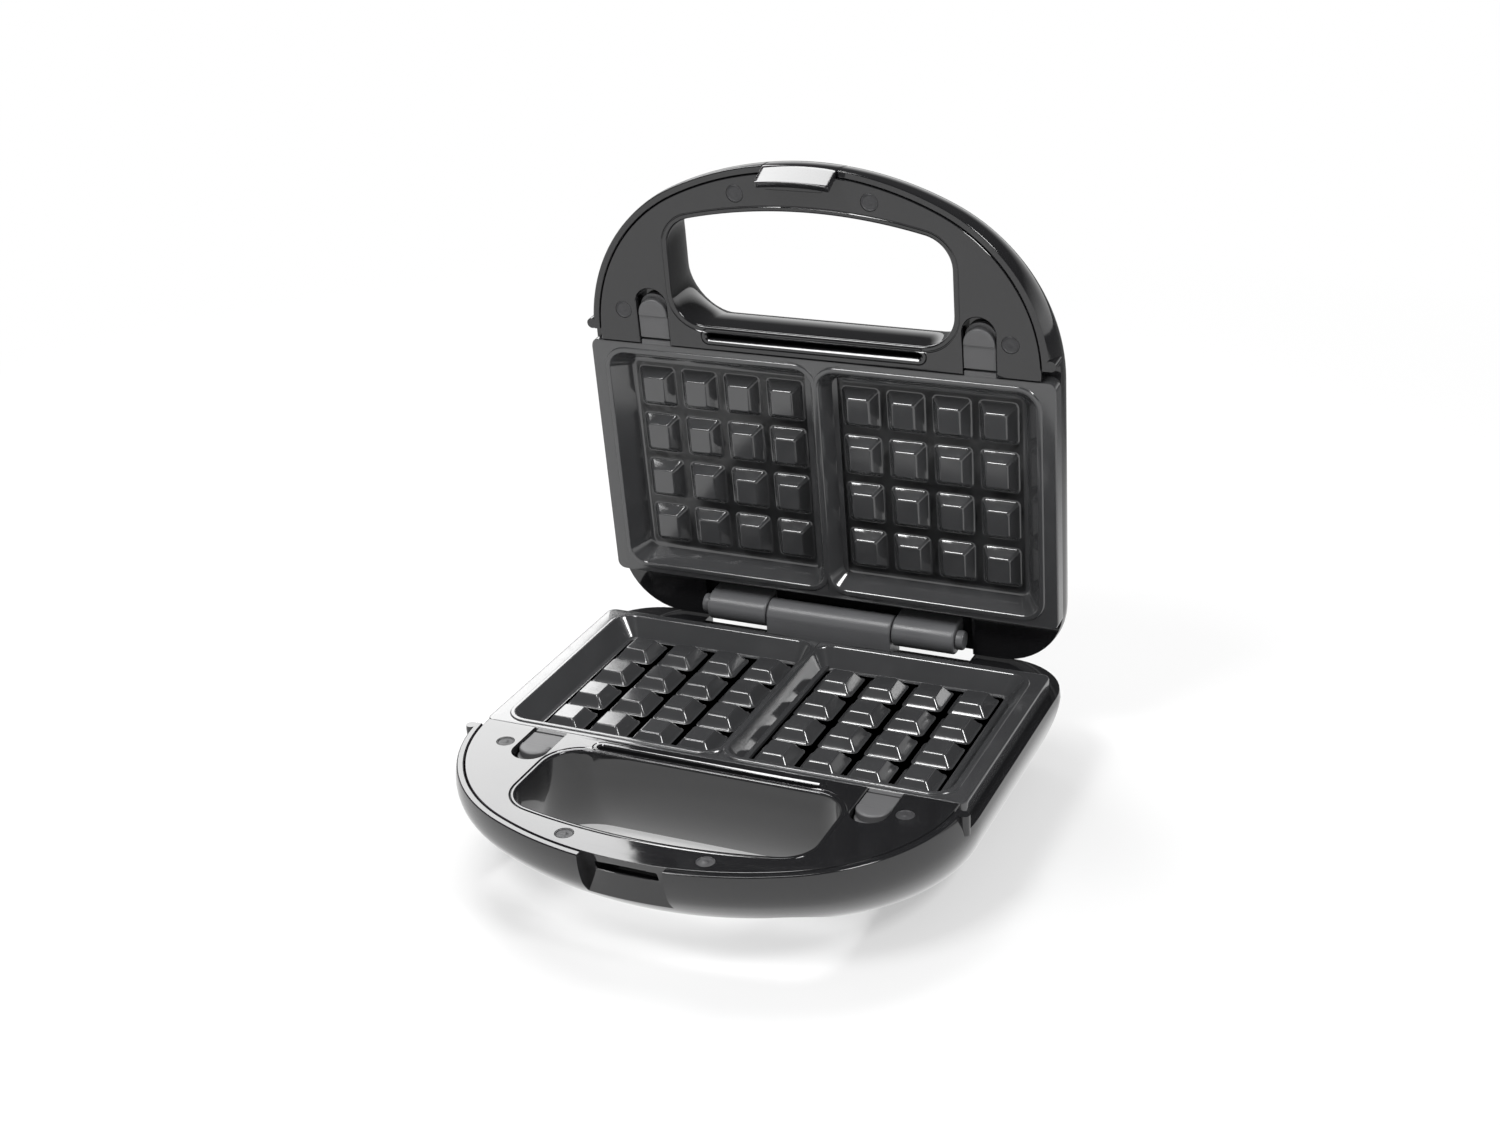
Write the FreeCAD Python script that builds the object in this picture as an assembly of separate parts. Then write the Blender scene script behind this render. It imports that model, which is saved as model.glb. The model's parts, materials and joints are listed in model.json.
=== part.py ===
import FreeCAD, Part
import math
import os

V = FreeCAD.Vector

# The half housing is drawn with its plate facing up. x runs across, the handle lies towards -y,
# and z = 0 is the top of the cooking plate. Lengths are millimetres, angles are degrees.

# Cooking plates
PLATE_HALF_X = 110.0
PLATE_HALF_Y = 60.0
PLATE_CORNER = 4.0
PLATE_SKIRT = 7.0
PLATE_FLOOR = 2.5
POCKET_DEPTH = 8.5
POCKET_CORNER = 4.0
POCKET_SLOPE = 4.0
POCKET_EDGE_X = 12.0
POCKET_EDGE_Y = 7.0
POCKET_WEB = 4.0
BEAD_WIDTH = 3.0
BEAD_HEIGHT = 0.6
STUDS_ACROSS = 4
STUDS_DEEP = 4
STUD_MARGIN_X = 1.6
STUD_MARGIN_Y = 1.8
STUD_CHANNEL_X = 4.2
STUD_CHANNEL_Y = 4.8
STUD_TAPER = 7.0
STUD_HEIGHT = 5.0

# Housing halves
CLOSED_GAP = 2.0
BASE_RIM_MORE = 1.5
LID_RIM_LESS = 3.0
HANDLE_REACH = 88.5
REAR_REACH = 22.0
FRONT_ARC_MORE = 37.0
CORNER_ARC_LESS = 28.0
REAR_CORNER = 30.0
WALL = 2.5
LEDGE_DEPTH = 7.0
STEP_GAP = 5.5
BELLY_DEPTH = 11.0
BELLY_OUT = 3.5
BELLY_REAR_OUT = 1.5
BELLY_FRONT_IN = 2.0
FLOOR_DEPTH = 43.0
FLOOR_IN = 16.0
FLOOR_REAR_IN = 32.0
FLOOR_FRONT_IN = 56.0
BOWL_FULLNESS = 0.7
RIM_BANDS = 4
BOWL_BANDS = 12
PLATE_SEAT = 5.0

# Deck with the handle opening
DECK_PROUD = 0.8
DECK_THICK = 3.0
DECK_INSET = 3.4
DECK_SKIRT = 2.5
PLATE_CLEAR = 0.6
HANDLE_SIDE = 44.0
HANDLE_BAR = 20.5
OPENING_BRIDGE = 11.5
OPENING_ARC = 190.0
OPENING_CORNER = 14.0
OPENING_FLARE = 14.5
OPENING_FLARE_POWER = 2.2
OPENING_BANDS = 5
COLLAR_WALL = 1.6
SLOT_SHORT = 14.5
SLOT_WIDTH = 4.5
SLOT_BRIDGE = 9.0
BOSS_RADIUS = 5.5
BOSS_DROP = 6.0
FRONT_SCREW_X = 30.7
FRONT_SCREW_IN = 14.1
SIDE_SCREW_OUT = 14.0
SIDE_SCREW_FRONT = 16.1
PLUG_RADIUS = 3.9
PLUG_THICK = 3.6
SCREW_HEAD_RADIUS = 3.2
SCREW_HEAD_THICK = 2.0
SCREW_RADIUS = 1.6
SCREW_LENGTH = 12.0
FIT_GAP = 0.1

# Plate release tabs
TAB_WIDTH = 15.0
TAB_LENGTH = 27.0
TAB_TRAVEL = 3.0
TAB_GAP = 0.3
TAB_TRAY_DEPTH = 5.2
TAB_TRAY_WALL = 1.2
TAB_TONGUE = 1.8
TAB_TONGUE_THICK = 1.6
TAB_PAD_LENGTH = 12.0
TAB_PAD_SINK = 1.2
SPRING_RADIUS = 1.1
SPRING_WIRE = 0.5
SPRING_POST = 2.0
SPRING_LENGTH = 8.0
SPRING_SET_BACK = 5.0

# Hinge
HINGE_BEHIND = 13.3
HINGE_Z = 3.7
OPEN_ANGLE = 85.0
BARREL_RADIUS = 7.0
BARREL_SPLIT = 31.0
BARREL_END = 61.5
BARREL_GAP = 0.5
PIN_RADIUS = 2.5
PIN_CLEAR = 0.05
PIN_HEAD_RADIUS = 4.2
PIN_HEAD_THICK = 2.5
BAY_HALF = 67.0
BAY_DEPTH = 11.5
BAY_GAP = 3.5
HINGE_SCREW_X = 12.0

# Latch and catch
LATCH_HALF = 17.0
LATCH_THICK = 3.0
LATCH_REACH = 11.0
LATCH_LEAN = 4.0
LATCH_LIP = 2.6
LATCH_LIP_TOP = 9.0
LATCH_LIP_THICK = 2.0
LATCH_LIP_GAP = 5.0
LATCH_PIVOT_DEPTH = 17.0
LATCH_PIVOT_IN = 13.2
LATCH_FOOT_DEPTH = 22.0
LATCH_PIN_RADIUS = 1.5
LATCH_EYE_RADIUS = 4.4
LATCH_SPRING_HALF = 6.0
LATCH_GAP = 0.5
LATCH_SWING_ROOM = 2.0
RECESS_WALL = 2.0
CATCH_HALF = 18.5
CATCH_DEPTH = 20.0
CATCH_IN = 17.5
SLOT_HEIGHT = 4.0

# Feet, lamps and cord inlet
FOOT_SIDE_IN = 30.0
FOOT_FRONT_IN = 2.0
FOOT_REAR_IN = 16.0
FOOT_RADIUS = 8.0
FOOT_POST = 10.0
FOOT_POST_DEPTH = 43.5
FOOT_POST_TOP = 30.0
FOOT_DEPTH = 46.0
FOOT_SUNK = 1.5
LAMP_X = 11.0
LAMP_IN = 10.0
LAMP_RADIUS = 4.0
LAMP_FLANGE = 5.2
LAMP_PROUD = 1.4
LAMP_LENGTH = 6.0
LAMP_BOARD = 1.6
INLET_X = 40.0
INLET_DEPTH = 24.0
INLET_RADIUS = 7.0
INLET_NECK = 5.0
INLET_BORE = 3.4
INLET_LENGTH = 11.0
INLET_FLANGE = 3.0

# Heating parts under each plate
PAN_IN_X = 8.0
PAN_IN_Y = 3.0
PAN_LIP = 3.8
PAN_DEPTH = 16.0
PAN_SHEET = 0.8
PAN_SLOPE = 9.0
HEATER_RADIUS = 3.3
HEATER_IN_X = 32.0
HEATER_IN_Y = 26.0
HEATER_BEND = 16.0
HEATER_TAIL = 12.0
HEATER_TAIL_BEND = 8.0
HEATER_DROP = 14.0
HEATER_HOLE = 1.0
HEATER_GAP = 0.3
CLIP_WIDTH = 8.0
CLIP_IN = 28.0
THERMOSTAT_RADIUS = 9.0
THERMOSTAT_THICK = 6.0
THERMOSTAT_CAP = 0.8
BLADE_WIDTH = 6.0
BLADE_THICK = 0.8
BLADE_LENGTH = 4.0
BLADE_X = 4.0
FUSE_RADIUS = 2.2
FUSE_LENGTH = 16.0
TERMINAL_X = 30.0
TERMINAL_Y = 10.0
TERMINAL_Z = 11.0
TERMINALS = 3
TERMINAL_WELL = 2.2
WIRE_RADIUS = 1.1
WIRE_BEND = 2.5

# Sizes that follow from the ones above
POCKET_HALF_X = (PLATE_HALF_X - POCKET_EDGE_X - POCKET_WEB / 2 - 2 * POCKET_SLOPE) / 2
POCKET_HALF_Y = PLATE_HALF_Y - POCKET_EDGE_Y - POCKET_SLOPE
POCKET_CENTRE_X = POCKET_WEB / 2 + POCKET_SLOPE + POCKET_HALF_X
STUD_PITCH_X = 2 * (POCKET_HALF_X - STUD_MARGIN_X) / STUDS_ACROSS
STUD_PITCH_Y = 2 * (POCKET_HALF_Y - STUD_MARGIN_Y) / STUDS_DEEP
STUD_BASE_X = STUD_PITCH_X - STUD_CHANNEL_X
STUD_BASE_Y = STUD_PITCH_Y - STUD_CHANNEL_Y
BASE_RIM_HALF = PLATE_HALF_X + BASE_RIM_MORE
LID_RIM_HALF = PLATE_HALF_X - LID_RIM_LESS
RIM_FRONT = PLATE_HALF_Y + HANDLE_REACH
RIM_REAR = PLATE_HALF_Y + REAR_REACH
STEP_FRONT = PLATE_HALF_Y + STEP_GAP
OPENING_HALF = PLATE_HALF_X - HANDLE_SIDE
OPENING_FRONT = RIM_FRONT - HANDLE_BAR
OPENING_REAR = PLATE_HALF_Y + OPENING_BRIDGE
SLOT_HALF = OPENING_HALF - SLOT_SHORT
SLOT_FRONT = PLATE_HALF_Y + SLOT_BRIDGE
TAB_X = OPENING_HALF + COLLAR_WALL + TAB_GAP + TAB_TRAY_WALL + TAB_WIDTH / 2
TAB_FRONT = PLATE_HALF_Y + TAB_LENGTH
SCREW_PLACES = [(FRONT_SCREW_X, RIM_FRONT - FRONT_SCREW_IN),
                (TAB_X + SIDE_SCREW_OUT, PLATE_HALF_Y + SIDE_SCREW_FRONT)]
HINGE_Y = PLATE_HALF_Y + HINGE_BEHIND
BAY_FRONT = PLATE_HALF_Y + BAY_GAP
LATCH_PIVOT_FRONT = RIM_FRONT - LATCH_PIVOT_IN
CATCH_BACK = RIM_FRONT - CATCH_IN
FOOT_X = PLATE_HALF_X - FOOT_SIDE_IN
FOOT_FRONT = PLATE_HALF_Y - FOOT_FRONT_IN
FOOT_REAR = PLATE_HALF_Y - FOOT_REAR_IN
LAMP_FRONT = PLATE_HALF_Y - LAMP_IN
PAN_HALF_X = PLATE_HALF_X - PAN_IN_X
PAN_HALF_Y = PLATE_HALF_Y - PAN_IN_Y
HEATER_HALF_X = PLATE_HALF_X - HEATER_IN_X
HEATER_HALF_Y = PLATE_HALF_Y - HEATER_IN_Y
CLIP_X = HEATER_HALF_X - CLIP_IN
TERMINAL_REAR = RIM_REAR - FLOOR_REAR_IN - WALL - FIT_GAP
DECK_UNDER = DECK_PROUD - DECK_THICK
BOSS_TOP = DECK_UNDER - BOSS_DROP
DECK_REAR = PLATE_HALF_Y + PLATE_CLEAR
PLATE_UNDER = -POCKET_DEPTH - PLATE_FLOOR
SEAT_X = PLATE_HALF_X - PLATE_SEAT
SEAT_Y = PLATE_HALF_Y - PLATE_SEAT / 2
LEDGE_UNDER = -LEDGE_DEPTH - WALL
PAN_BOTTOM = LEDGE_UNDER - PAN_SHEET - PAN_DEPTH
PAN_FLOOR = PAN_BOTTOM + PAN_SHEET
HEATER_Z = PLATE_UNDER - HEATER_GAP - HEATER_RADIUS
PLUG_SEAT = DECK_PROUD - PLUG_THICK - SCREW_HEAD_THICK - BOSS_TOP
TONGUE_LOW = -TAB_GAP - TAB_TONGUE_THICK
SPRING_REAR = DECK_REAR + TAB_TRAVEL + SPRING_SET_BACK
SPRING_FRONT = SPRING_REAR + SPRING_LENGTH
SPRING_GROOVE_TOP = 2 * SPRING_RADIUS + 2 * TAB_GAP - TAB_TRAY_DEPTH
FOOT_PLACES = [(side * FOOT_X, y) for y in (-FOOT_FRONT, FOOT_REAR) for side in (-1, 1)]
LAMP_PLACES = [(-LAMP_X, -LAMP_FRONT), (LAMP_X, -LAMP_FRONT)]
LID_BARREL_X = (BARREL_SPLIT + BARREL_GAP + BARREL_END) / 2
BASE_SCREW_XS = (-HINGE_SCREW_X, HINGE_SCREW_X)
LID_SCREW_XS = (-LID_BARREL_X, LID_BARREL_X)
SCREW_TIP = HINGE_Z - PIN_RADIUS - WALL
LID_SCREW_TIP = CLOSED_GAP - HINGE_Z - PIN_RADIUS - WALL
FAR = 300.0


def box(x0, x1, y0, y1, z0, z1):
    return Part.makeBox(x1 - x0, y1 - y0, z1 - z0, V(x0, y0, z0))


def upright(radius, x, y, z0, z1):
    return Part.makeCylinder(radius, z1 - z0, V(x, y, z0), V(0, 0, 1))


def along_x(radius, x0, x1, y, z):
    return Part.makeCylinder(radius, x1 - x0, V(x0, y, z), V(1, 0, 0))


def line(a, b):
    return Part.LineSegment(a, b).toShape()


def arc(a, middle, b):
    return Part.Arc(a, middle, b).toShape()


def rounded_wire(half_x, half_y, radius, z, x=0.0, y=0.0):
    """Closed rectangle with round corners, at height z."""
    edges = []
    centres = [(1, 1, 0), (-1, 1, 90), (-1, -1, 180), (1, -1, 270)]
    points = []
    for sx, sy, start in centres:
        cx = x + sx * (half_x - radius)
        cy = y + sy * (half_y - radius)
        for turn in (0, 45, 90):
            angle = math.radians(start + turn)
            points.append(V(cx + radius * math.cos(angle), cy + radius * math.sin(angle), z))
    for corner in range(4):
        a, middle, b = points[3 * corner:3 * corner + 3]
        edges.append(arc(a, middle, b))
        edges.append(line(b, points[(3 * corner + 3) % 12]))
    return Part.Wire(edges)


def rounded_block(half_x, half_y, radius, z0, z1, x=0.0, y=0.0):
    face = Part.Face(rounded_wire(half_x, half_y, radius, z0, x, y))
    return face.extrude(V(0, 0, z1 - z0))


def d_wire(z, half, front, rear, front_radius, corner_radius, rear_radius):
    """D-shaped outline: a large front arc, two tangent corner arcs, straight sides and a straight rear."""
    front_y = front_radius - front
    corner_x = half - corner_radius
    reach = front_radius - corner_radius
    corner_y = front_y - math.sqrt(reach ** 2 - corner_x ** 2)
    lean = math.atan2(corner_x, front_y - corner_y)
    join = V(front_radius * math.sin(lean), front_y - front_radius * math.cos(lean), z)
    middle_turn = (math.pi / 2 + lean) / 2
    bend = V(corner_x + corner_radius * math.sin(middle_turn),
             corner_y - corner_radius * math.cos(middle_turn), z)
    side = V(half, corner_y, z)
    side_end = V(half, rear - rear_radius, z)
    diagonal = rear_radius * math.sqrt(0.5)
    rear_bend = V(half - rear_radius + diagonal, rear - rear_radius + diagonal, z)
    rear_start = V(half - rear_radius, rear, z)

    def other(point):
        return V(-point.x, point.y, point.z)

    return Part.Wire([
        arc(other(join), V(0, -front, z), join),
        arc(join, bend, side),
        line(side, side_end),
        arc(side_end, rear_bend, rear_start),
        line(rear_start, other(rear_start)),
        arc(other(rear_start), other(rear_bend), other(side_end)),
        line(other(side_end), other(side)),
        arc(other(side), other(bend), other(join)),
    ])


def rim_wire(rim_half, z, side_in, front_in, rear_in):
    half = rim_half - side_in
    return d_wire(z, half, RIM_FRONT - front_in, RIM_REAR - rear_in,
                  half + FRONT_ARC_MORE, half - CORNER_ARC_LESS, REAR_CORNER)


def bowl(rim_half, inset):
    """Rounded bowl of a half housing: it swells below the rim and turns in to a flat floor."""
    levels = [(DECK_PROUD, 0, 0, 0)]
    for step in range(1, RIM_BANDS + 1):
        share = step / RIM_BANDS
        swell = math.sin(share * math.pi / 2)
        levels.append((DECK_PROUD - share * (BELLY_DEPTH + DECK_PROUD), -BELLY_OUT * swell,
                       BELLY_FRONT_IN * share ** 2, -BELLY_REAR_OUT * swell))
    for step in range(1, BOWL_BANDS + 1):
        turn = step / BOWL_BANDS * math.pi / 2
        drop = (FLOOR_DEPTH - inset - BELLY_DEPTH) * math.sin(turn)
        shrink = 1 - math.cos(turn)
        slope = shrink ** BOWL_FULLNESS
        levels.append((-BELLY_DEPTH - drop, (FLOOR_IN + BELLY_OUT) * slope - BELLY_OUT,
                       (FLOOR_FRONT_IN - BELLY_FRONT_IN) * slope + BELLY_FRONT_IN,
                       (FLOOR_REAR_IN + BELLY_REAR_OUT) * shrink - BELLY_REAR_OUT))
    wires = [rim_wire(rim_half, z, side + inset, front + inset, rear + inset)
             for z, side, front, rear in levels]
    return Part.makeLoft(wires, True, True)


def opening(outset):
    """The handle opening under the deck: its wall flares towards the outside of the housing."""
    depth = DECK_UNDER + FLOOR_DEPTH + WALL
    wires = []
    for step in range(OPENING_BANDS + 1):
        share = step / OPENING_BANDS
        flare = OPENING_FLARE * share ** OPENING_FLARE_POWER
        wires.append(opening_wire(DECK_UNDER - share * depth, outset + flare))
    return Part.makeLoft(wires, True, True)


def opening_wire(z, outset):
    corner = OPENING_CORNER + outset
    return d_wire(z, OPENING_HALF + outset, OPENING_FRONT + outset, outset - OPENING_REAR,
                  OPENING_ARC + outset, corner, corner)


def blade_bowl(inset, beyond=0):
    """The surface that the latch blade follows past the rim, leaning in up to its tip and upright beyond."""
    lean = inset + LATCH_LEAN
    wires = [rim_wire(LID_RIM_HALF, DECK_PROUD, inset, inset, inset),
             rim_wire(LID_RIM_HALF, LATCH_REACH, lean, lean, inset)]
    if beyond:
        wires.append(rim_wire(LID_RIM_HALF, LATCH_REACH + beyond, lean, lean, inset))
    return Part.makeLoft(wires, True, True)


def mirrored(shape):
    """Flip a half about the plane where the two halves meet."""
    return shape.mirror(V(0, 0, CLOSED_GAP / 2), V(0, 0, 1))


def to_lid(shape):
    """Turn a half drawn plate up into the lid, standing open on its hinge."""
    lid = mirrored(shape)
    lid.rotate(V(0, HINGE_Y, HINGE_Z), V(1, 0, 0), -OPEN_ANGLE)
    return lid


def both_sides(places):
    return [(side * x, -y) for x, y in places for side in (-1, 1)]


def fuse_all(shapes):
    return shapes[0].multiFuse(shapes[1:]).removeSplitter()


def housing(rim_half):
    """Moulded half shell: bowl, ledge under the plate, hinge bay, handle collar and screw bosses."""
    outer = bowl(rim_half, 0)
    above_ledge = box(-FAR, FAR, -STEP_FRONT, FAR, -LEDGE_DEPTH, FAR)
    wall = outer.cut(bowl(rim_half, WALL)).cut(above_ledge)
    ledge = box(-FAR, FAR, -STEP_FRONT - WALL, FAR, LEDGE_UNDER, -LEDGE_DEPTH).common(outer)
    bay_block = box(-BAY_HALF - WALL, BAY_HALF + WALL, BAY_FRONT - WALL, FAR,
                    -BAY_DEPTH - WALL, -LEDGE_DEPTH).common(outer)
    collar = opening(COLLAR_WALL).common(outer).common(box(-FAR, FAR, -FAR, FAR, -FAR, DECK_UNDER))
    pieces = [wall, ledge, bay_block, collar]
    for x, y in both_sides(SCREW_PLACES):
        pieces.append(upright(BOSS_RADIUS, x, y, -FLOOR_DEPTH, BOSS_TOP).common(outer))
    shell = fuse_all(pieces)
    seat = rounded_block(SEAT_X, SEAT_Y, PLATE_CORNER, LEDGE_UNDER - WALL, 0)
    bay = box(-BAY_HALF, BAY_HALF, BAY_FRONT, FAR, -BAY_DEPTH, FAR)
    pilots = [upright(SCREW_RADIUS + FIT_GAP, x, y, BOSS_TOP - SCREW_LENGTH, BOSS_TOP)
              for x, y in both_sides(SCREW_PLACES)]
    return shell.cut([seat, bay, opening(0)] + pilots)


def deck(rim_half):
    """Top cover of a half: D-shaped plate with the handle opening, tab trays, slot and screw bosses."""
    edge = rim_wire(rim_half, -LEDGE_DEPTH, DECK_INSET, DECK_INSET, 0)
    blank = Part.Face(edge).extrude(V(0, 0, LEDGE_DEPTH + DECK_PROUD))
    cover = blank.common(box(-FAR, FAR, -FAR, -DECK_REAR, DECK_UNDER, FAR))
    skirt = blank.common(box(-FAR, FAR, -DECK_REAR - DECK_SKIRT, -DECK_REAR, -FAR, FAR))
    pieces = [cover, skirt]
    tray_half = TAB_WIDTH / 2 + TAB_TRAY_WALL
    for side in (-1, 1):
        pieces.append(box(side * TAB_X - tray_half, side * TAB_X + tray_half, -TAB_FRONT - TAB_TRAY_WALL,
                          -DECK_REAR, -TAB_TRAY_DEPTH - TAB_TRAY_WALL, DECK_UNDER))
    for x, y in both_sides(SCREW_PLACES):
        pieces.append(upright(BOSS_RADIUS, x, y, BOSS_TOP, DECK_UNDER))
    cover = fuse_all(pieces)
    slot = rounded_block(SLOT_HALF, SLOT_WIDTH / 2, SLOT_WIDTH / 2 - FIT_GAP, DECK_UNDER, DECK_PROUD,
                         0, SLOT_WIDTH / 2 - SLOT_FRONT)
    hole = Part.Face(opening_wire(DECK_UNDER, 0)).extrude(V(0, 0, DECK_THICK))
    cuts = [hole, slot]
    for side in (-1, 1):
        cuts.append(tab_recess(side * TAB_X))
    for x, y in both_sides(SCREW_PLACES):
        head_seat = BOSS_TOP + PLUG_SEAT
        cuts.append(upright(PLUG_RADIUS + FIT_GAP, x, y, head_seat, DECK_PROUD))
        cuts.append(upright(SCREW_RADIUS + FIT_GAP, x, y, BOSS_TOP, head_seat))
    cover = cover.cut(cuts)
    for side in (-1, 1):
        cover = cover.fuse(spring_post(side * TAB_X))
    return cover.removeSplitter()


def tab_recess(x):
    """U-shaped pocket that a release tab slides in, open towards the plate."""
    radius = TAB_WIDTH / 2
    straight = box(x - radius, x + radius, radius - TAB_FRONT, 0, -TAB_TRAY_DEPTH, DECK_PROUD + 1)
    return straight.fuse(upright(radius, x, radius - TAB_FRONT, -TAB_TRAY_DEPTH, DECK_PROUD + 1))


def spring_post(x):
    half = SPRING_RADIUS + TAB_GAP
    return box(x - half, x + half, -SPRING_FRONT - SPRING_POST, -SPRING_FRONT,
               -TAB_TRAY_DEPTH, SPRING_GROOVE_TOP - TAB_GAP)


def release_tab(x):
    """Sliding tab with a sunk thumb pad, a tongue over the plate edge and a groove for its spring."""
    radius = TAB_WIDTH / 2 - TAB_GAP
    front = radius - TAB_FRONT + TAB_TRAVEL + TAB_GAP
    low = TAB_GAP - TAB_TRAY_DEPTH
    top = DECK_PROUD - TAB_GAP
    rear = -DECK_REAR - TAB_GAP
    body = box(x - radius, x + radius, front, rear, low, top).fuse(upright(radius, x, front, low, top))
    pad = box(x - FAR, x + FAR, front - radius, front - radius + TAB_PAD_LENGTH, top - TAB_PAD_SINK, top)
    tongue = box(x - radius, x + radius, rear, TAB_TONGUE - PLATE_HALF_Y, TONGUE_LOW, -TAB_GAP)
    half = SPRING_RADIUS + 2 * TAB_GAP
    groove = box(x - half, x + half, -SPRING_FRONT - SPRING_POST - TAB_GAP,
                 TAB_TRAVEL + TAB_GAP - SPRING_REAR, low, SPRING_GROOVE_TOP)
    return body.cut(pad).fuse(tongue).cut(groove).removeSplitter()


def release_springs():
    """Coils behind the two tabs of one half, drawn as plain sleeves at their pressed length."""
    coils = []
    for side in (-1, 1):
        start = V(side * TAB_X, -SPRING_FRONT, SPRING_RADIUS + FIT_GAP - TAB_TRAY_DEPTH)
        length = SPRING_FRONT - SPRING_REAR
        sleeve = Part.makeCylinder(SPRING_RADIUS, length, start, V(0, 1, 0))
        coils.append(sleeve.cut(Part.makeCylinder(SPRING_RADIUS - SPRING_WIRE, length, start, V(0, 1, 0))))
    return Part.makeCompound(coils)


def frustum(x, y, z, base_x, base_y, taper, height):
    def ring(half_x, half_y, level):
        return Part.makePolygon([V(x - half_x, y - half_y, level), V(x + half_x, y - half_y, level),
                                 V(x + half_x, y + half_y, level), V(x - half_x, y + half_y, level),
                                 V(x - half_x, y - half_y, level)])
    top = ring((base_x - taper) / 2, (base_y - taper) / 2, z + height)
    return Part.makeLoft([ring(base_x / 2, base_y / 2, z), top], True, True)


def cooking_plate():
    """Cast plate: two sloped pockets, a raised bead round each and a grid of tapered studs."""
    body = rounded_block(PLATE_HALF_X, PLATE_HALF_Y, PLATE_CORNER, -PLATE_SKIRT, 0)
    tub_x = POCKET_CENTRE_X + POCKET_HALF_X + POCKET_SLOPE / 2 + PLATE_FLOOR / 2
    tub_y = POCKET_HALF_Y + POCKET_SLOPE / 2 + PLATE_FLOOR / 2
    tub = rounded_block(tub_x, tub_y, POCKET_CORNER, PLATE_UNDER, -PLATE_SKIRT)
    body = body.fuse(tub)
    studs = []
    for side in (-1, 1):
        x = side * POCKET_CENTRE_X
        mouth_x = POCKET_HALF_X + POCKET_SLOPE
        mouth_y = POCKET_HALF_Y + POCKET_SLOPE
        mouth_corner = POCKET_CORNER + POCKET_SLOPE
        pocket = Part.makeLoft([
            rounded_wire(POCKET_HALF_X, POCKET_HALF_Y, POCKET_CORNER, -POCKET_DEPTH, x),
            rounded_wire(mouth_x, mouth_y, mouth_corner, 0, x)], True, True)
        bead = rounded_block(mouth_x + BEAD_WIDTH, mouth_y + BEAD_WIDTH, mouth_corner, 0, BEAD_HEIGHT, x)
        rim = rounded_block(mouth_x, mouth_y, mouth_corner, 0, BEAD_HEIGHT, x)
        body = body.fuse(bead).cut(pocket).cut(rim)
        for i in range(STUDS_ACROSS):
            for j in range(STUDS_DEEP):
                studs.append(frustum(x + (i - (STUDS_ACROSS - 1) / 2) * STUD_PITCH_X,
                                     (j - (STUDS_DEEP - 1) / 2) * STUD_PITCH_Y, -POCKET_DEPTH,
                                     STUD_BASE_X, STUD_BASE_Y, STUD_TAPER, STUD_HEIGHT))
    body = body.multiFuse(studs)
    for side in (-1, 1):
        half = TAB_WIDTH / 2
        body = body.cut(box(side * TAB_X - half, side * TAB_X + half, -PLATE_HALF_Y,
                            TAB_TONGUE + TAB_GAP - PLATE_HALF_Y, TONGUE_LOW - TAB_GAP, BEAD_HEIGHT))
    return body.removeSplitter()


def base_shell():
    """Lower half shell with the latch catch, foot posts, cord inlet hole and hinge screw holes."""
    shell = housing(BASE_RIM_HALF)
    outer = bowl(BASE_RIM_HALF, 0)
    wall_half = CATCH_HALF + RECESS_WALL
    catch_wall = box(-wall_half, wall_half, -RIM_FRONT, RECESS_WALL - CATCH_BACK,
                     -CATCH_DEPTH - RECESS_WALL, DECK_UNDER).common(outer)
    inner = bowl(BASE_RIM_HALF, WALL)
    posts = [upright(FOOT_POST, x, y, -FOOT_POST_DEPTH, -FOOT_POST_TOP).cut(inner) for x, y in FOOT_PLACES]
    shell = fuse_all([shell, catch_wall] + posts)
    cuts = [catch_space(), catch_slot()]
    for x, y in FOOT_PLACES:
        cuts.append(upright(FOOT_RADIUS + FIT_GAP, x, y, -FOOT_POST_DEPTH, FOOT_SUNK - FOOT_POST_DEPTH))
    inlet_start = V(INLET_X, RIM_REAR / 2, -INLET_DEPTH)
    cuts.append(Part.makeCylinder(INLET_NECK + FIT_GAP, FAR, inlet_start, V(0, 1, 0)))
    cuts += [screw_hole(x) for x in BASE_SCREW_XS]
    return shell.cut(cuts).removeSplitter()


def screw_hole(x):
    return upright(SCREW_RADIUS + FIT_GAP, x, HINGE_Y, -BAY_DEPTH - WALL, -BAY_DEPTH)


def catch_space():
    """Room in the base front that the latch blade swings into when the halves are shut."""
    space = box(-CATCH_HALF, CATCH_HALF, -FAR, -CATCH_BACK, -CATCH_DEPTH, FAR)
    return space.cut(mirrored(blade_bowl(LATCH_THICK + LATCH_GAP, CLOSED_GAP + CATCH_DEPTH - LATCH_REACH)))


def catch_slot():
    low = CLOSED_GAP - LATCH_LIP_TOP - LATCH_GAP
    return box(LATCH_LIP_GAP - CATCH_HALF, CATCH_HALF - LATCH_LIP_GAP, -RIM_FRONT, -CATCH_BACK,
               low - LATCH_GAP, low + SLOT_HEIGHT)


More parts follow.
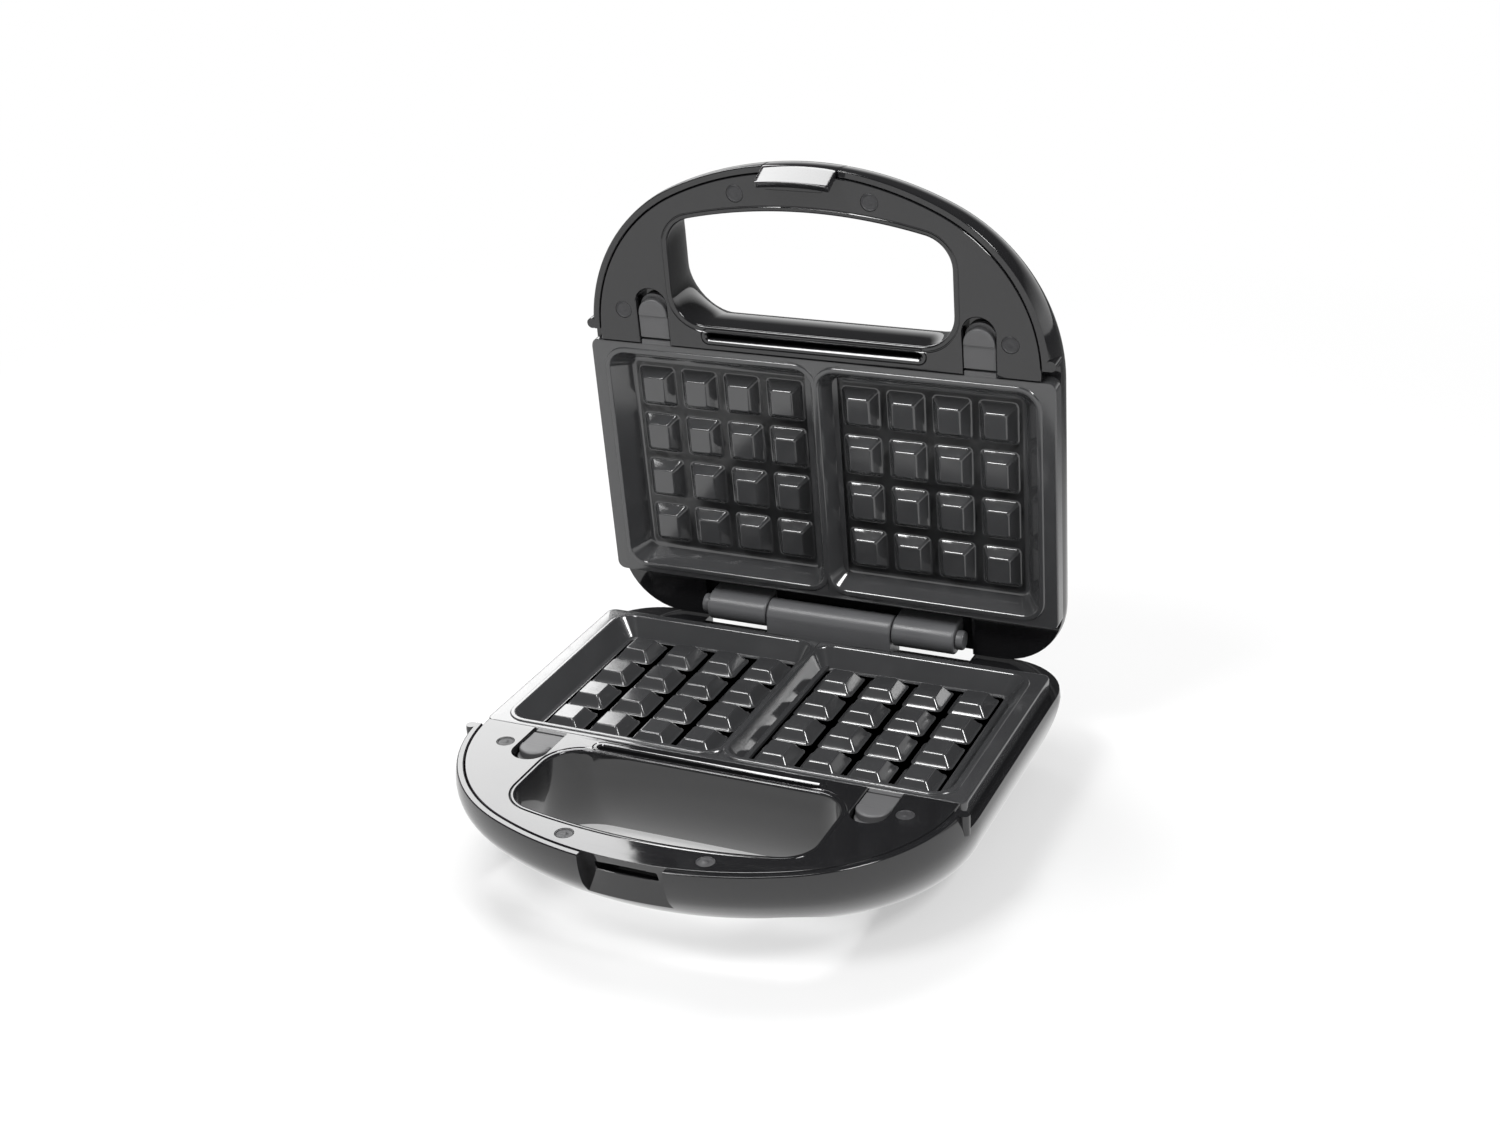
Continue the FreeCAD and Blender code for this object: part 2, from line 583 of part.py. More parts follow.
def lid_shell():
    """Upper half shell with the latch recess, lamp holes and hinge screw holes."""
    shell = housing(LID_RIM_HALF)
    half = LATCH_HALF + LATCH_GAP
    back = LATCH_PIVOT_FRONT - LATCH_EYE_RADIUS - LATCH_GAP
    low = -LATCH_FOOT_DEPTH - LATCH_SWING_ROOM
    recess_wall = box(-half - RECESS_WALL, half + RECESS_WALL, -RIM_FRONT, RECESS_WALL - back,
                      low - RECESS_WALL, DECK_UNDER).common(bowl(LID_RIM_HALF, 0))
    cuts = [box(-half, half, -FAR, -back, low, FAR)]
    cuts.append(latch_pin_solid(LATCH_PIN_RADIUS + PIN_CLEAR))
    cuts += [upright(LAMP_RADIUS + FIT_GAP, x, y, -FLOOR_DEPTH - 1, WALL + 1 - FLOOR_DEPTH)
             for x, y in LAMP_PLACES]
    cuts += [screw_hole(x) for x in LID_SCREW_XS]
    return shell.fuse(recess_wall).cut(cuts).removeSplitter()


def base_deck():
    return deck(BASE_RIM_HALF).cut(catch_space())


def latch_pin_solid(radius):
    half = LATCH_HALF + LATCH_GAP + RECESS_WALL
    return along_x(radius, -half, half, -LATCH_PIVOT_FRONT, -LATCH_PIVOT_DEPTH)


def latch():
    """Clasp flush with the lid front: it turns on a pin, and its blade ends in a hooked lip."""
    across = box(-LATCH_HALF, LATCH_HALF, -FAR, 0, -LATCH_FOOT_DEPTH, DECK_PROUD)
    flush = bowl(LID_RIM_HALF, 0).cut(bowl(LID_RIM_HALF, LATCH_THICK)).common(across)
    above = box(-LATCH_HALF, LATCH_HALF, -FAR, 0, DECK_PROUD, LATCH_REACH)
    blade = blade_bowl(0).cut(blade_bowl(LATCH_THICK)).common(above)
    lip_half = CATCH_HALF - LATCH_LIP_GAP - LATCH_GAP
    lip_room = box(-lip_half, lip_half, -FAR, 0, LATCH_LIP_TOP - LATCH_LIP_THICK, LATCH_LIP_TOP)
    lip = blade_bowl(LATCH_THICK).cut(blade_bowl(LATCH_THICK + LATCH_LIP)).common(lip_room)
    eyes = [along_x(LATCH_EYE_RADIUS, x0, x1, -LATCH_PIVOT_FRONT, -LATCH_PIVOT_DEPTH)
            for x0, x1 in ((-LATCH_HALF, -LATCH_SPRING_HALF), (LATCH_SPRING_HALF, LATCH_HALF))]
    body = fuse_all([flush, blade, lip] + eyes)
    return body.cut(latch_pin_solid(LATCH_PIN_RADIUS + PIN_CLEAR)).removeSplitter()


def latch_spring():
    """Coil on the latch pin, drawn as a plain sleeve."""
    half = LATCH_SPRING_HALF - LATCH_GAP
    sleeve = along_x(LATCH_PIN_RADIUS + SPRING_WIRE * 2, -half, half, -LATCH_PIVOT_FRONT, -LATCH_PIVOT_DEPTH)
    return sleeve.cut(latch_pin_solid(LATCH_PIN_RADIUS + PIN_CLEAR))


def hinge_knuckle(x0, x1, axis_z, screw_xs, screw_tip):
    """Barrel on a pedestal that stands on the floor of the hinge bay, with pilot holes for its screws."""
    pedestal = box(x0, x1, HINGE_Y - BARREL_RADIUS, HINGE_Y + BARREL_RADIUS, -BAY_DEPTH, axis_z)
    knuckle = pedestal.fuse(along_x(BARREL_RADIUS, x0, x1, HINGE_Y, axis_z))
    cuts = [along_x(PIN_RADIUS + PIN_CLEAR, x0, x1, HINGE_Y, axis_z)]
    cuts += [upright(SCREW_RADIUS + FIT_GAP, x, HINGE_Y, -BAY_DEPTH, screw_tip) for x in screw_xs]
    return knuckle.cut(cuts).removeSplitter()


def base_knuckle():
    return hinge_knuckle(-BARREL_SPLIT, BARREL_SPLIT, HINGE_Z, BASE_SCREW_XS, SCREW_TIP)


def lid_knuckle(side):
    """Lid barrel, drawn plate up: its axis lies where the closed lid brings it to the base axis."""
    x0, x1 = sorted((side * (BARREL_SPLIT + BARREL_GAP), side * BARREL_END))
    return hinge_knuckle(x0, x1, CLOSED_GAP - HINGE_Z, [side * LID_BARREL_X], LID_SCREW_TIP)


def hinge_pin():
    reach = BARREL_END + BARREL_GAP
    pin = along_x(PIN_RADIUS, -reach, reach, HINGE_Y, HINGE_Z)
    heads = [along_x(PIN_HEAD_RADIUS, x, x + PIN_HEAD_THICK, HINGE_Y, HINGE_Z)
             for x in (reach, -reach - PIN_HEAD_THICK)]
    return fuse_all([pin] + heads)


def screws(places, seat, tip):
    """Pan-head screws seen from above: heads above the seat and shanks down to the tip."""
    made = []
    for x, y in places:
        head = upright(SCREW_HEAD_RADIUS, x, y, seat, seat + SCREW_HEAD_THICK)
        made.append(head.fuse(upright(SCREW_RADIUS, x, y, tip, seat)).removeSplitter())
    return Part.makeCompound(made)


def deck_screws():
    return screws(both_sides(SCREW_PLACES), BOSS_TOP + PLUG_SEAT, BOSS_TOP - SCREW_LENGTH + 1)


def screw_plugs():
    low = DECK_PROUD - PLUG_THICK
    plugs = [upright(PLUG_RADIUS, x, y, low, DECK_PROUD) for x, y in both_sides(SCREW_PLACES)]
    return Part.makeCompound(plugs)


def hinge_screws(xs, tip):
    made = []
    under = -BAY_DEPTH - WALL
    for x in xs:
        head = upright(SCREW_HEAD_RADIUS, x, HINGE_Y, under - SCREW_HEAD_THICK, under)
        made.append(head.fuse(upright(SCREW_RADIUS, x, HINGE_Y, under, tip - 1)).removeSplitter())
    return Part.makeCompound(made)


def rubber_feet():
    return Part.makeCompound([upright(FOOT_RADIUS, x, y, -FOOT_DEPTH, FOOT_SUNK - FOOT_POST_DEPTH)
                              for x, y in FOOT_PLACES])


def cord_inlet():
    """Bushing in the rear wall: a flange outside, a neck through the wall and a bore."""
    start = V(INLET_X, RIM_REAR + BELLY_REAR_OUT + INLET_FLANGE, -INLET_DEPTH)
    back = V(0, -1, 0)
    flange = Part.makeCylinder(INLET_RADIUS, INLET_LENGTH, start, back).cut(bowl(BASE_RIM_HALF, 0))
    neck = Part.makeCylinder(INLET_NECK, INLET_LENGTH, start, back)
    return flange.fuse(neck).cut(Part.makeCylinder(INLET_BORE, INLET_LENGTH, start, back)).removeSplitter()


def lamp_lens(place):
    x, y = place
    face = -FLOOR_DEPTH
    flange = upright(LAMP_FLANGE, x, y, face - LAMP_PROUD, face)
    return flange.fuse(upright(LAMP_RADIUS, x, y, face, face + LAMP_LENGTH)).removeSplitter()


def lamp_board():
    x, y = LAMP_PLACES[1]
    half = abs(x) + LAMP_RADIUS + WALL
    seat = LAMP_LENGTH - FLOOR_DEPTH
    return box(-half, half, y - LAMP_RADIUS - WALL, y + LAMP_RADIUS + WALL, seat, seat + LAMP_BOARD)


def rounded_path(points, radii):
    """Straight runs through the points, joined at each inner point by a tangent arc."""
    edges = []
    start = points[0]
    for before, corner, after, radius in zip(points, points[1:], points[2:], radii):
        into = (before - corner).normalize()
        out = (after - corner).normalize()
        half_turn = into.getAngle(out) / 2
        reach = radius / math.tan(half_turn)
        middle_out = (into + out).normalize()
        middle = corner + middle_out * (radius / math.sin(half_turn) - radius)
        edges.append(line(start, corner + into * reach))
        edges.append(arc(corner + into * reach, middle, corner + out * reach))
        start = corner + out * reach
    edges.append(line(start, points[-1]))
    return Part.Wire(edges)


def tube(points, radii, radius):
    path = rounded_path(points, radii)
    ring = Part.Wire(Part.makeCircle(radius, points[0], points[1] - points[0]))
    return path.makePipeShell([ring], True, False)


def reflector_pan():
    """Sheet tray under the plate: its lip hangs on the ledge, and the heater's tails pass its floor."""
    low = LEDGE_UNDER - PAN_SHEET
    lip = rounded_block(PAN_HALF_X + PAN_LIP, PAN_HALF_Y + PAN_LIP, PLATE_CORNER, low, LEDGE_UNDER)
    hole = rounded_block(PAN_HALF_X, PAN_HALF_Y, PLATE_CORNER, low, LEDGE_UNDER)

    def tray(inset):
        return Part.makeLoft([
            rounded_wire(PAN_HALF_X - inset, PAN_HALF_Y - inset, PLATE_CORNER, low),
            rounded_wire(PAN_HALF_X - PAN_SLOPE - inset, PAN_HALF_Y - PAN_SLOPE - inset, PLATE_CORNER,
                         PAN_BOTTOM + inset)], True, True)

    pan = lip.cut(hole).fuse(tray(0)).cut(tray(PAN_SHEET))
    tails = [upright(HEATER_RADIUS + HEATER_HOLE, side * HEATER_TAIL, HEATER_HALF_Y, PAN_BOTTOM, PAN_FLOOR)
             for side in (-1, 1)]
    return pan.cut(tails).removeSplitter()


def heater():
    """Tubular heating loop under the plate, its two tails turned down through the pan."""
    low = HEATER_Z - HEATER_DROP
    right = [V(HEATER_HALF_X, -HEATER_HALF_Y, HEATER_Z), V(HEATER_HALF_X, HEATER_HALF_Y, HEATER_Z),
             V(HEATER_TAIL, HEATER_HALF_Y, HEATER_Z), V(HEATER_TAIL, HEATER_HALF_Y, low)]
    left = [V(-p.x, p.y, p.z) for p in reversed(right)]
    bends = [HEATER_TAIL_BEND, HEATER_BEND, HEATER_BEND, HEATER_BEND, HEATER_BEND, HEATER_TAIL_BEND]
    return tube(left + right, bends, HEATER_RADIUS)


def heater_clips():
    """Saddles on the pan floor that carry the heating loop."""
    clips = []
    half = HEATER_RADIUS + PAN_SHEET
    for x in (-CLIP_X, CLIP_X):
        x0, x1 = x - CLIP_WIDTH / 2, x + CLIP_WIDTH / 2
        for y in (-HEATER_HALF_Y, HEATER_HALF_Y):
            block = box(x0, x1, y - half, y + half, PAN_FLOOR, HEATER_Z)
            clips.append(block.cut(along_x(HEATER_RADIUS + FIT_GAP / 2, x0, x1, y, HEATER_Z)))
    return Part.makeCompound(clips)


def thermostat():
    """Disc thermostat under the plate: a can, a smaller cap and two contact blades."""
    step = PLATE_UNDER - THERMOSTAT_THICK / 2
    low = PLATE_UNDER - THERMOSTAT_THICK
    can = upright(THERMOSTAT_RADIUS, 0, 0, step, PLATE_UNDER)
    cap = upright(THERMOSTAT_RADIUS * THERMOSTAT_CAP, 0, 0, low, step)
    blades = [box(x - BLADE_WIDTH / 2, x + BLADE_WIDTH / 2, -BLADE_THICK / 2, BLADE_THICK / 2,
                  low - BLADE_LENGTH, low) for x in (-BLADE_X, BLADE_X)]
    return fuse_all([can, cap] + blades)


def thermal_fuse():
    z = PAN_FLOOR + FUSE_RADIUS + FIT_GAP
    body = along_x(FUSE_RADIUS, -FUSE_LENGTH / 2, FUSE_LENGTH / 2, HEATER_HALF_Y / 2, z)
    leads = along_x(FUSE_RADIUS / 3, -FUSE_LENGTH, FUSE_LENGTH, HEATER_HALF_Y / 2, z)
    return body.fuse(leads).removeSplitter()


def terminal_block():
    """Screw terminal strip on the floor of the base, beside the cord inlet."""
    floor = WALL - FLOOR_DEPTH
    block = box(INLET_X - TERMINAL_X / 2, INLET_X + TERMINAL_X / 2, TERMINAL_REAR - TERMINAL_Y, TERMINAL_REAR,
                floor, floor + TERMINAL_Z)
    wells = [upright(TERMINAL_WELL, INLET_X + (i - (TERMINALS - 1) / 2) * TERMINAL_X / TERMINALS,
                     TERMINAL_REAR - TERMINAL_Y / 2, floor + TERMINAL_Z / 2, floor + TERMINAL_Z)
             for i in range(TERMINALS)]
    return block.cut(wells)


def base_wiring():
    """Leads from the heater tails to the terminal strip."""
    leads = []
    for side in (-1, 1):
        x = side * HEATER_TAIL
        y = TERMINAL_REAR - TERMINAL_Y / 2 - side * WIRE_BEND / 2
        z = HEATER_Z - HEATER_DROP - 2 * WIRE_BEND + side * WIRE_RADIUS * 1.5
        points = [V(x, HEATER_HALF_Y, HEATER_Z - HEATER_DROP), V(x, HEATER_HALF_Y, z), V(x, y, z),
                  V(INLET_X - TERMINAL_X / 2, y, z)]
        leads.append(tube(points, [WIRE_BEND, WIRE_BEND], WIRE_RADIUS))
    return Part.makeCompound(leads)


def lid_wiring():
    """Leads from the heater tails to the lamp board."""
    leads = []
    z = LAMP_LENGTH - FLOOR_DEPTH + LAMP_BOARD / 2
    for side in (-1, 1):
        x = side * HEATER_TAIL
        points = [V(x, HEATER_HALF_Y, HEATER_Z - HEATER_DROP), V(x, HEATER_HALF_Y, z),
                  V(x, LAMP_RADIUS + WALL - LAMP_FRONT, z)]
        leads.append(tube(points, [WIRE_BEND], WIRE_RADIUS))
    return Part.makeCompound(leads)


def base_nodes():
    return {
        "base_shell": base_shell(),
        "base_deck": base_deck(),
        "base_plate": cooking_plate(),
        "base_reflector_pan": reflector_pan(),
        "base_heater": heater(),
        "base_heater_clips": heater_clips(),
        "base_thermostat": thermostat(),
        "base_thermal_fuse": thermal_fuse(),
        "base_terminal_block": terminal_block(),
        "base_wiring": base_wiring(),
        "base_cord_inlet": cord_inlet(),
        "base_deck_screws": deck_screws(),
        "base_screw_plugs": screw_plugs(),
        "base_rubber_feet": rubber_feet(),
        "base_hinge_knuckle": base_knuckle(),
        "base_hinge_screws": hinge_screws(BASE_SCREW_XS, SCREW_TIP),
        "hinge_pin": hinge_pin(),
        "base_release_springs": release_springs(),
        "base_release_tab_left": release_tab(-TAB_X),
        "base_release_tab_right": release_tab(TAB_X),
    }


def lid_nodes():
    return {
        "lid_shell": lid_shell(),
        "lid_deck": deck(LID_RIM_HALF),
        "lid_plate": cooking_plate(),
        "lid_reflector_pan": reflector_pan(),
        "lid_heater": heater(),
        "lid_heater_clips": heater_clips(),
        "lid_thermostat": thermostat(),
        "lid_wiring": lid_wiring(),
        "lid_deck_screws": deck_screws(),
        "lid_screw_plugs": screw_plugs(),
        "lid_hinge_knuckle_left": lid_knuckle(-1),
        "lid_hinge_knuckle_right": lid_knuckle(1),
        "lid_hinge_screws": hinge_screws(LID_SCREW_XS, LID_SCREW_TIP),
        "lid_release_springs": release_springs(),
        "lid_release_tab_left": release_tab(-TAB_X),
        "lid_release_tab_right": release_tab(TAB_X),
        "lid_latch": latch(),
        "lid_latch_pin": latch_pin_solid(LATCH_PIN_RADIUS),
        "lid_latch_spring": latch_spring(),
        "lid_power_lamp": lamp_lens(LAMP_PLACES[0]),
        "lid_ready_lamp": lamp_lens(LAMP_PLACES[1]),
        "lid_lamp_board": lamp_board(),
    }


def main():
    nodes = base_nodes()
    for name, shape in lid_nodes().items():
        nodes[name] = to_lid(shape)
    bounds = Part.makeCompound(list(nodes.values())).optimalBoundingBox(False)
    to_origin = V(0, -(bounds.YMin + bounds.YMax) / 2, -bounds.ZMin)
    os.makedirs("parts", exist_ok=True)
    for name, shape in nodes.items():
        shape.translate(to_origin)
        shape.exportStep("parts/" + name + ".step")
    print("nodes", len(nodes), "origin shift", to_origin)
    print("hinge axis", HINGE_Y + to_origin.y, HINGE_Z + to_origin.z)


if __name__ == "__main__":
    main()
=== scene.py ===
# %% [markdown]
# # A waffle maker, dressed for its portrait
# The solids of this machine come from a CAD model, which gives every piece its place. This lesson
# builds the visible skins round that frame with Blender's mesh operators: two gloss black halves on
# a hinge, two stud plates, sliding tabs, a latch and the small fittings.

# %% The frame and the tools
import json
import math
import bmesh
import bpy
from mathutils import Matrix, Vector


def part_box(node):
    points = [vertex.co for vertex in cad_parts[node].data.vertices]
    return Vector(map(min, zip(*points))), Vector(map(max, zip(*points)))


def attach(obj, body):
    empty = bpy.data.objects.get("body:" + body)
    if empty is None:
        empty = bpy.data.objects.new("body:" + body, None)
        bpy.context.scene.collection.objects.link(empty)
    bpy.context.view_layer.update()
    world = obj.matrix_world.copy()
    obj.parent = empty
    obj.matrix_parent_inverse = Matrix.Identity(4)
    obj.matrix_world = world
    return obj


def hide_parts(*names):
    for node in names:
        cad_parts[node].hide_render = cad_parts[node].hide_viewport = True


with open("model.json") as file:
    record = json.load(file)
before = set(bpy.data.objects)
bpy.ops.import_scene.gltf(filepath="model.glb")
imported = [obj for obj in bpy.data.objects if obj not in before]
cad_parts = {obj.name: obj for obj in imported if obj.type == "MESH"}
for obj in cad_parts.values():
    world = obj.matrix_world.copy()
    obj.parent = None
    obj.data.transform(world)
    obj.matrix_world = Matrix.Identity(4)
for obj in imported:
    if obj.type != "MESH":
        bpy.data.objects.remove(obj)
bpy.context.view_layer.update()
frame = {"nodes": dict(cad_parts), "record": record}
nodes = frame["nodes"]

# %% [markdown]
# ## Where the halves stand
# Both halves are moulded alike, so each piece is drawn once, in millimetres, lying with its plate
# up: x runs across, the handle points to -y and z = 0 is the face of the plate. One matrix then
# lays it down as the base. A second one flips it over and leans it back as the open lid. The plate
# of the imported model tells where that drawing's origin lies.

# %% From a half's drawing to the machine
MM = 0.001
BEAD_HEIGHT = 0.6
CLOSED_GAP = 2.0
HINGE_Y, HINGE_Z = 73.3, 3.7
OPEN_ANGLE = math.radians(85)
plate_low, plate_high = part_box("base_plate")
origin = Vector((0, (plate_low.y + plate_high.y) / 2, plate_high.z - BEAD_HEIGHT * MM))
to_base = Matrix.Translation(origin) @ Matrix.Scale(MM, 4)
hinge = Matrix.Translation((0, HINGE_Y, HINGE_Z))
flip = Matrix.Translation((0, 0, CLOSED_GAP)) @ Matrix.Scale(-1, 4, (0, 0, 1))
to_lid = to_base @ hinge @ Matrix.Rotation(-OPEN_ANGLE, 4, "X") @ hinge.inverted() @ flip
HALVES = (("base", to_base), ("lid", to_lid))
print("origin of the base drawing:", [round(v, 4) for v in origin])

# %% [markdown]
# ## The camera
# The picture was taken from the right, a little above, with a slight roll. A matrix built from
# three directions states that plainly: what is right, what is up and what lies behind the lens.

# %% Camera
AZIMUTH, ELEVATION, ROLL = (math.radians(angle) for angle in (24.897, 23.924, -2.68))
EYE = Vector((0.34534, -0.74177, 0.48105))
SENSOR_WIDTH, FOCAL_LENGTH = 36, 51.15
level = Vector((math.cos(AZIMUTH), math.sin(AZIMUTH), 0))
back = Vector((math.sin(AZIMUTH) * math.cos(ELEVATION), -math.cos(AZIMUTH) * math.cos(ELEVATION),
               math.sin(ELEVATION)))
upward = back.cross(level)
right = level * math.cos(ROLL) + upward * math.sin(ROLL)
up = upward * math.cos(ROLL) - level * math.sin(ROLL)
lens = bpy.data.cameras.new("camera")
lens.sensor_width = SENSOR_WIDTH
lens.lens = FOCAL_LENGTH
camera = bpy.data.objects.new("camera", lens)
camera.matrix_world = Matrix.Translation(EYE) @ Matrix((right, up, back)).transposed().to_4x4()
bpy.context.scene.collection.objects.link(camera)
bpy.context.scene.camera = camera
print("camera", round((EYE - origin).length, 3), "m from the base plate")

# %% [markdown]
# ## Shader maths as plain expressions
# A material is a graph of nodes, and its sums read best as sums. `Wire` wraps one output socket and
# turns + - * into Math nodes. `Graph` has one method that adds any node: settings first, then the
# values or links of its sockets. The material and the white surround of the studio both use it.

# %% Wire and Graph
MIX_FIRST, MIX_SECOND, MIX_RESULT = 6, 7, 2  # the Mix node's sockets for colours


class Wire:
    def __init__(self, tree, socket):
        self.tree, self.socket = tree, socket

    def joined(self, operation, first, second):
        maths = self.tree.nodes.new("ShaderNodeMath")
        maths.operation = operation
        for slot, value in zip(maths.inputs, (first, second)):
            plug(self.tree, slot, value)
        return Wire(self.tree, maths.outputs[0])

    def __add__(self, other):
        return self.joined("ADD", self, other)

    def __rsub__(self, other):
        return self.joined("SUBTRACT", other, self)

    def __mul__(self, other):
        return self.joined("MULTIPLY", self, other)


def plug(tree, slot, value):
    """Feed a socket with a link or with a plain value."""
    if isinstance(value, Wire):
        tree.links.new(value.socket, slot)
    else:
        slot.default_value = value


class Graph:
    def __init__(self, tree):
        self.tree = tree

    def node(self, kind, inputs=None, output=0, **settings):
        """Add a node, set it up, feed its sockets and hand back one of its outputs."""
        made = self.tree.nodes.new(kind)
        for key, value in settings.items():
            setattr(made, key, value)
        for key, value in (inputs or {}).items():
            plug(self.tree, made.inputs[key], value)
        return Wire(self.tree, made.outputs[output])

    def spread(self, value, low, high, from_low=0.3, from_high=0.7):
        """Stretch a value, such as a noise, to the range from low to high."""
        return self.node("ShaderNodeMapRange", {"Value": value, "From Min": from_low,
                                                "From Max": from_high, "To Min": low,
                                                "To Max": high})

    def tint(self, share, first, second):
        colours = {"Factor": share, MIX_FIRST: (*first, 1), MIX_SECOND: (*second, 1)}
        return self.node("ShaderNodeMix", colours, MIX_RESULT, data_type="RGBA")


print("graph tools ready")

# %% [markdown]
# ## Starting a finish
# Every finish starts in the same way: a material with its Principled shader, and a place to hang
# patterns on. Object coordinates are that place, so a pattern keeps its real scale on every piece.

# %% Finish
class Finish(Graph):
    def __init__(self, name):
        self.material = bpy.data.materials.new(name)
        self.material.use_nodes = True
        super().__init__(self.material.node_tree)
        self.shader = self.tree.nodes["Principled BSDF"]
        self.place = self.node("ShaderNodeTexCoord", output="Object")

    def noise(self, scale, detail=3.0, place=None):
        return self.node("ShaderNodeTexNoise", {"Vector": place or self.place, "Scale": scale,
                                                "Detail": detail})

    def stretched(self, scale, turn=(0, 0, 0)):
        """The place, turned and scaled by axis, which draws a noise out into lines."""
        return self.node("ShaderNodeMapping", {"Vector": self.place, "Rotation": turn,
                                               "Scale": scale})

    def bump(self, height, strength, distance):
        return self.node("ShaderNodeBump", {"Height": height, "Strength": strength,
                                            "Distance": distance})

    def wear(self, **sockets):
        """Feed the shader's sockets: spaces in their names are written as underscores."""
        for name, value in sockets.items():
            plug(self.tree, self.shader.inputs[name.replace("_", " ")], value)
        return self.material


finishes = {}
print("shader tools ready")

# %% [markdown]
# ## Gloss black moulding
# The housings are polished ABS: nearly black, with a clear, hard gleam. Polished plastic is never
# perfect, so the sheen wanders a little, thin handling scratches break the reflections and a very
# shallow ripple, which moulders call orange peel, bends them. The tabs share the recipe, in grey.

# %% Gloss black
SHEEN_CLOUD, SHEEN_DRIFT = 9.0, 0.05
SCRATCH_TURN, SCRATCH_SCALE = (0.3, 0.5, 0.9), (30.0, 900.0, 420.0)
SCRATCH_BAND, SCRATCH_DULLS = (0.62, 0.72), 0.05
RIPPLE_SCALE, RIPPLE_STRENGTH, RIPPLE_HEIGHT = 70.0, 0.05, 0.0004


def gloss_black(name, first, second, gleam, bend):
    finish = Finish(name)
    cloud = finish.noise(SHEEN_CLOUD, detail=4.0)
    streaks = finish.noise(1.0, detail=2.0, place=finish.stretched(SCRATCH_SCALE, SCRATCH_TURN))
    scratch = finish.spread(streaks, 0.0, 1.0, *SCRATCH_BAND)
    sheen = finish.spread(cloud, gleam, gleam + SHEEN_DRIFT) + scratch * SCRATCH_DULLS
    ripple = finish.noise(RIPPLE_SCALE, detail=1.0)
    return finish.wear(Base_Color=finish.tint(cloud, first, second), Roughness=sheen, IOR=bend,
                       Normal=finish.bump(ripple, RIPPLE_STRENGTH, RIPPLE_HEIGHT))


# slot: name, two colours, roughness, index of refraction
GLOSSES = {
    "gloss_black": ("gloss black moulding", (0.009, 0.009, 0.010), (0.014, 0.014, 0.015), 0.05,
                    1.65),
    "tab_grey": ("dark grey moulding", (0.09, 0.09, 0.092), (0.12, 0.12, 0.123), 0.38, 1.5),
}
finishes.update({slot: gloss_black(*recipe) for slot, recipe in GLOSSES.items()})
print("gloss finishes:", sorted(finishes))

# %% [markdown]
# ## The plates' dark coating
# A non-stick coating is sprayed on cast aluminium. It bakes to a hard, dark gleam with a fine
# grain, and the pockets keep faint clouds where it was wiped.

# %% Coated plate
COATING_DARK, COATING_PALE = (0.04, 0.0405, 0.0425), (0.052, 0.0525, 0.0545)
COATING_CLOUD, COATING_GLEAM, COATING_BEND = 26.0, (0.1, 0.14), 1.8
RUBBED_SCALE, RUBBED_BAND, RUBBED_DULLS = 140.0, (0.45, 0.75), 0.04
SPRAY_GRAIN, SPRAY_STRENGTH, SPRAY_HEIGHT = 2600.0, 0.04, 0.0001


def coated_plate():
    finish = Finish("dark non-stick coating")
    cloud = finish.noise(COATING_CLOUD, detail=5.0)
    grain = finish.noise(SPRAY_GRAIN, detail=2.0)
    rubbed = finish.spread(finish.noise(RUBBED_SCALE), 0.0, 1.0, *RUBBED_BAND)
    return finish.wear(Base_Color=finish.tint(cloud, COATING_DARK, COATING_PALE),
                       Roughness=finish.spread(cloud, *COATING_GLEAM) + rubbed * RUBBED_DULLS,
                       IOR=COATING_BEND, Normal=finish.bump(grain, SPRAY_STRENGTH, SPRAY_HEIGHT))


finishes["coated_plate"] = coated_plate()
print("plate finish ready")

# %% [markdown]
# ## Satin mouldings and rubber
# The hinge barrels, the plugs over the screws, the feet and the cord bushing are all dull. They
# share one recipe: a base colour that drifts, a rough sheen and a fine tooth made by bump. Only the
# numbers differ.

# %% Satin finishes
SATIN_CLOUD, SATIN_DRIFT, TOOTH_HEIGHT = 60.0, 0.08, 0.0003


def satin(name, first, second, rough, tooth, grain_scale):
    finish = Finish(name)
    cloud = finish.noise(SATIN_CLOUD, detail=4.0)
    grain = finish.noise(grain_scale, detail=2.0)
    return finish.wear(Base_Color=finish.tint(cloud, first, second),
                       Roughness=finish.spread(cloud, rough, rough + SATIN_DRIFT),
                       Normal=finish.bump(grain, tooth, TOOTH_HEIGHT))


# slot: name, two colours, roughness, strength of the tooth, scale of the grain
SATINS = {
    "hinge_grey": ("satin charcoal moulding", (0.1, 0.101, 0.105), (0.13, 0.131, 0.136), 0.3, 0.2,
                   1500.0),
    "plug_grey": ("matt grey plug", (0.03, 0.03, 0.032), (0.05, 0.05, 0.053), 0.4, 0.5, 700.0),
    "black_rubber": ("matt rubber", (0.012, 0.012, 0.012), (0.022, 0.022, 0.022), 0.62, 0.3,
                     1800.0),
    "white_ceramic": ("off-white ceramic", (0.72, 0.7, 0.65), (0.82, 0.81, 0.77), 0.4, 0.2, 900.0),
    "wire_sleeve": ("woven heat sleeve", (0.62, 0.6, 0.55), (0.78, 0.77, 0.72), 0.75, 0.8, 2400.0),
    "board_green": ("lamp board", (0.02, 0.12, 0.045), (0.035, 0.17, 0.06), 0.42, 0.15, 1300.0),
}
finishes.update({slot: satin(*recipe) for slot, recipe in SATINS.items()})
print("satin finishes:", sorted(SATINS))

# %% [markdown]
# ## Bare metal and lamp lenses
# Sheet, sheath and plated steel show drawing lines: a noise squeezed along one axis gives them. The
# heating sheath is browned by its own heat. The two lenses are clear coloured plastic with a
# faintly uneven tint.

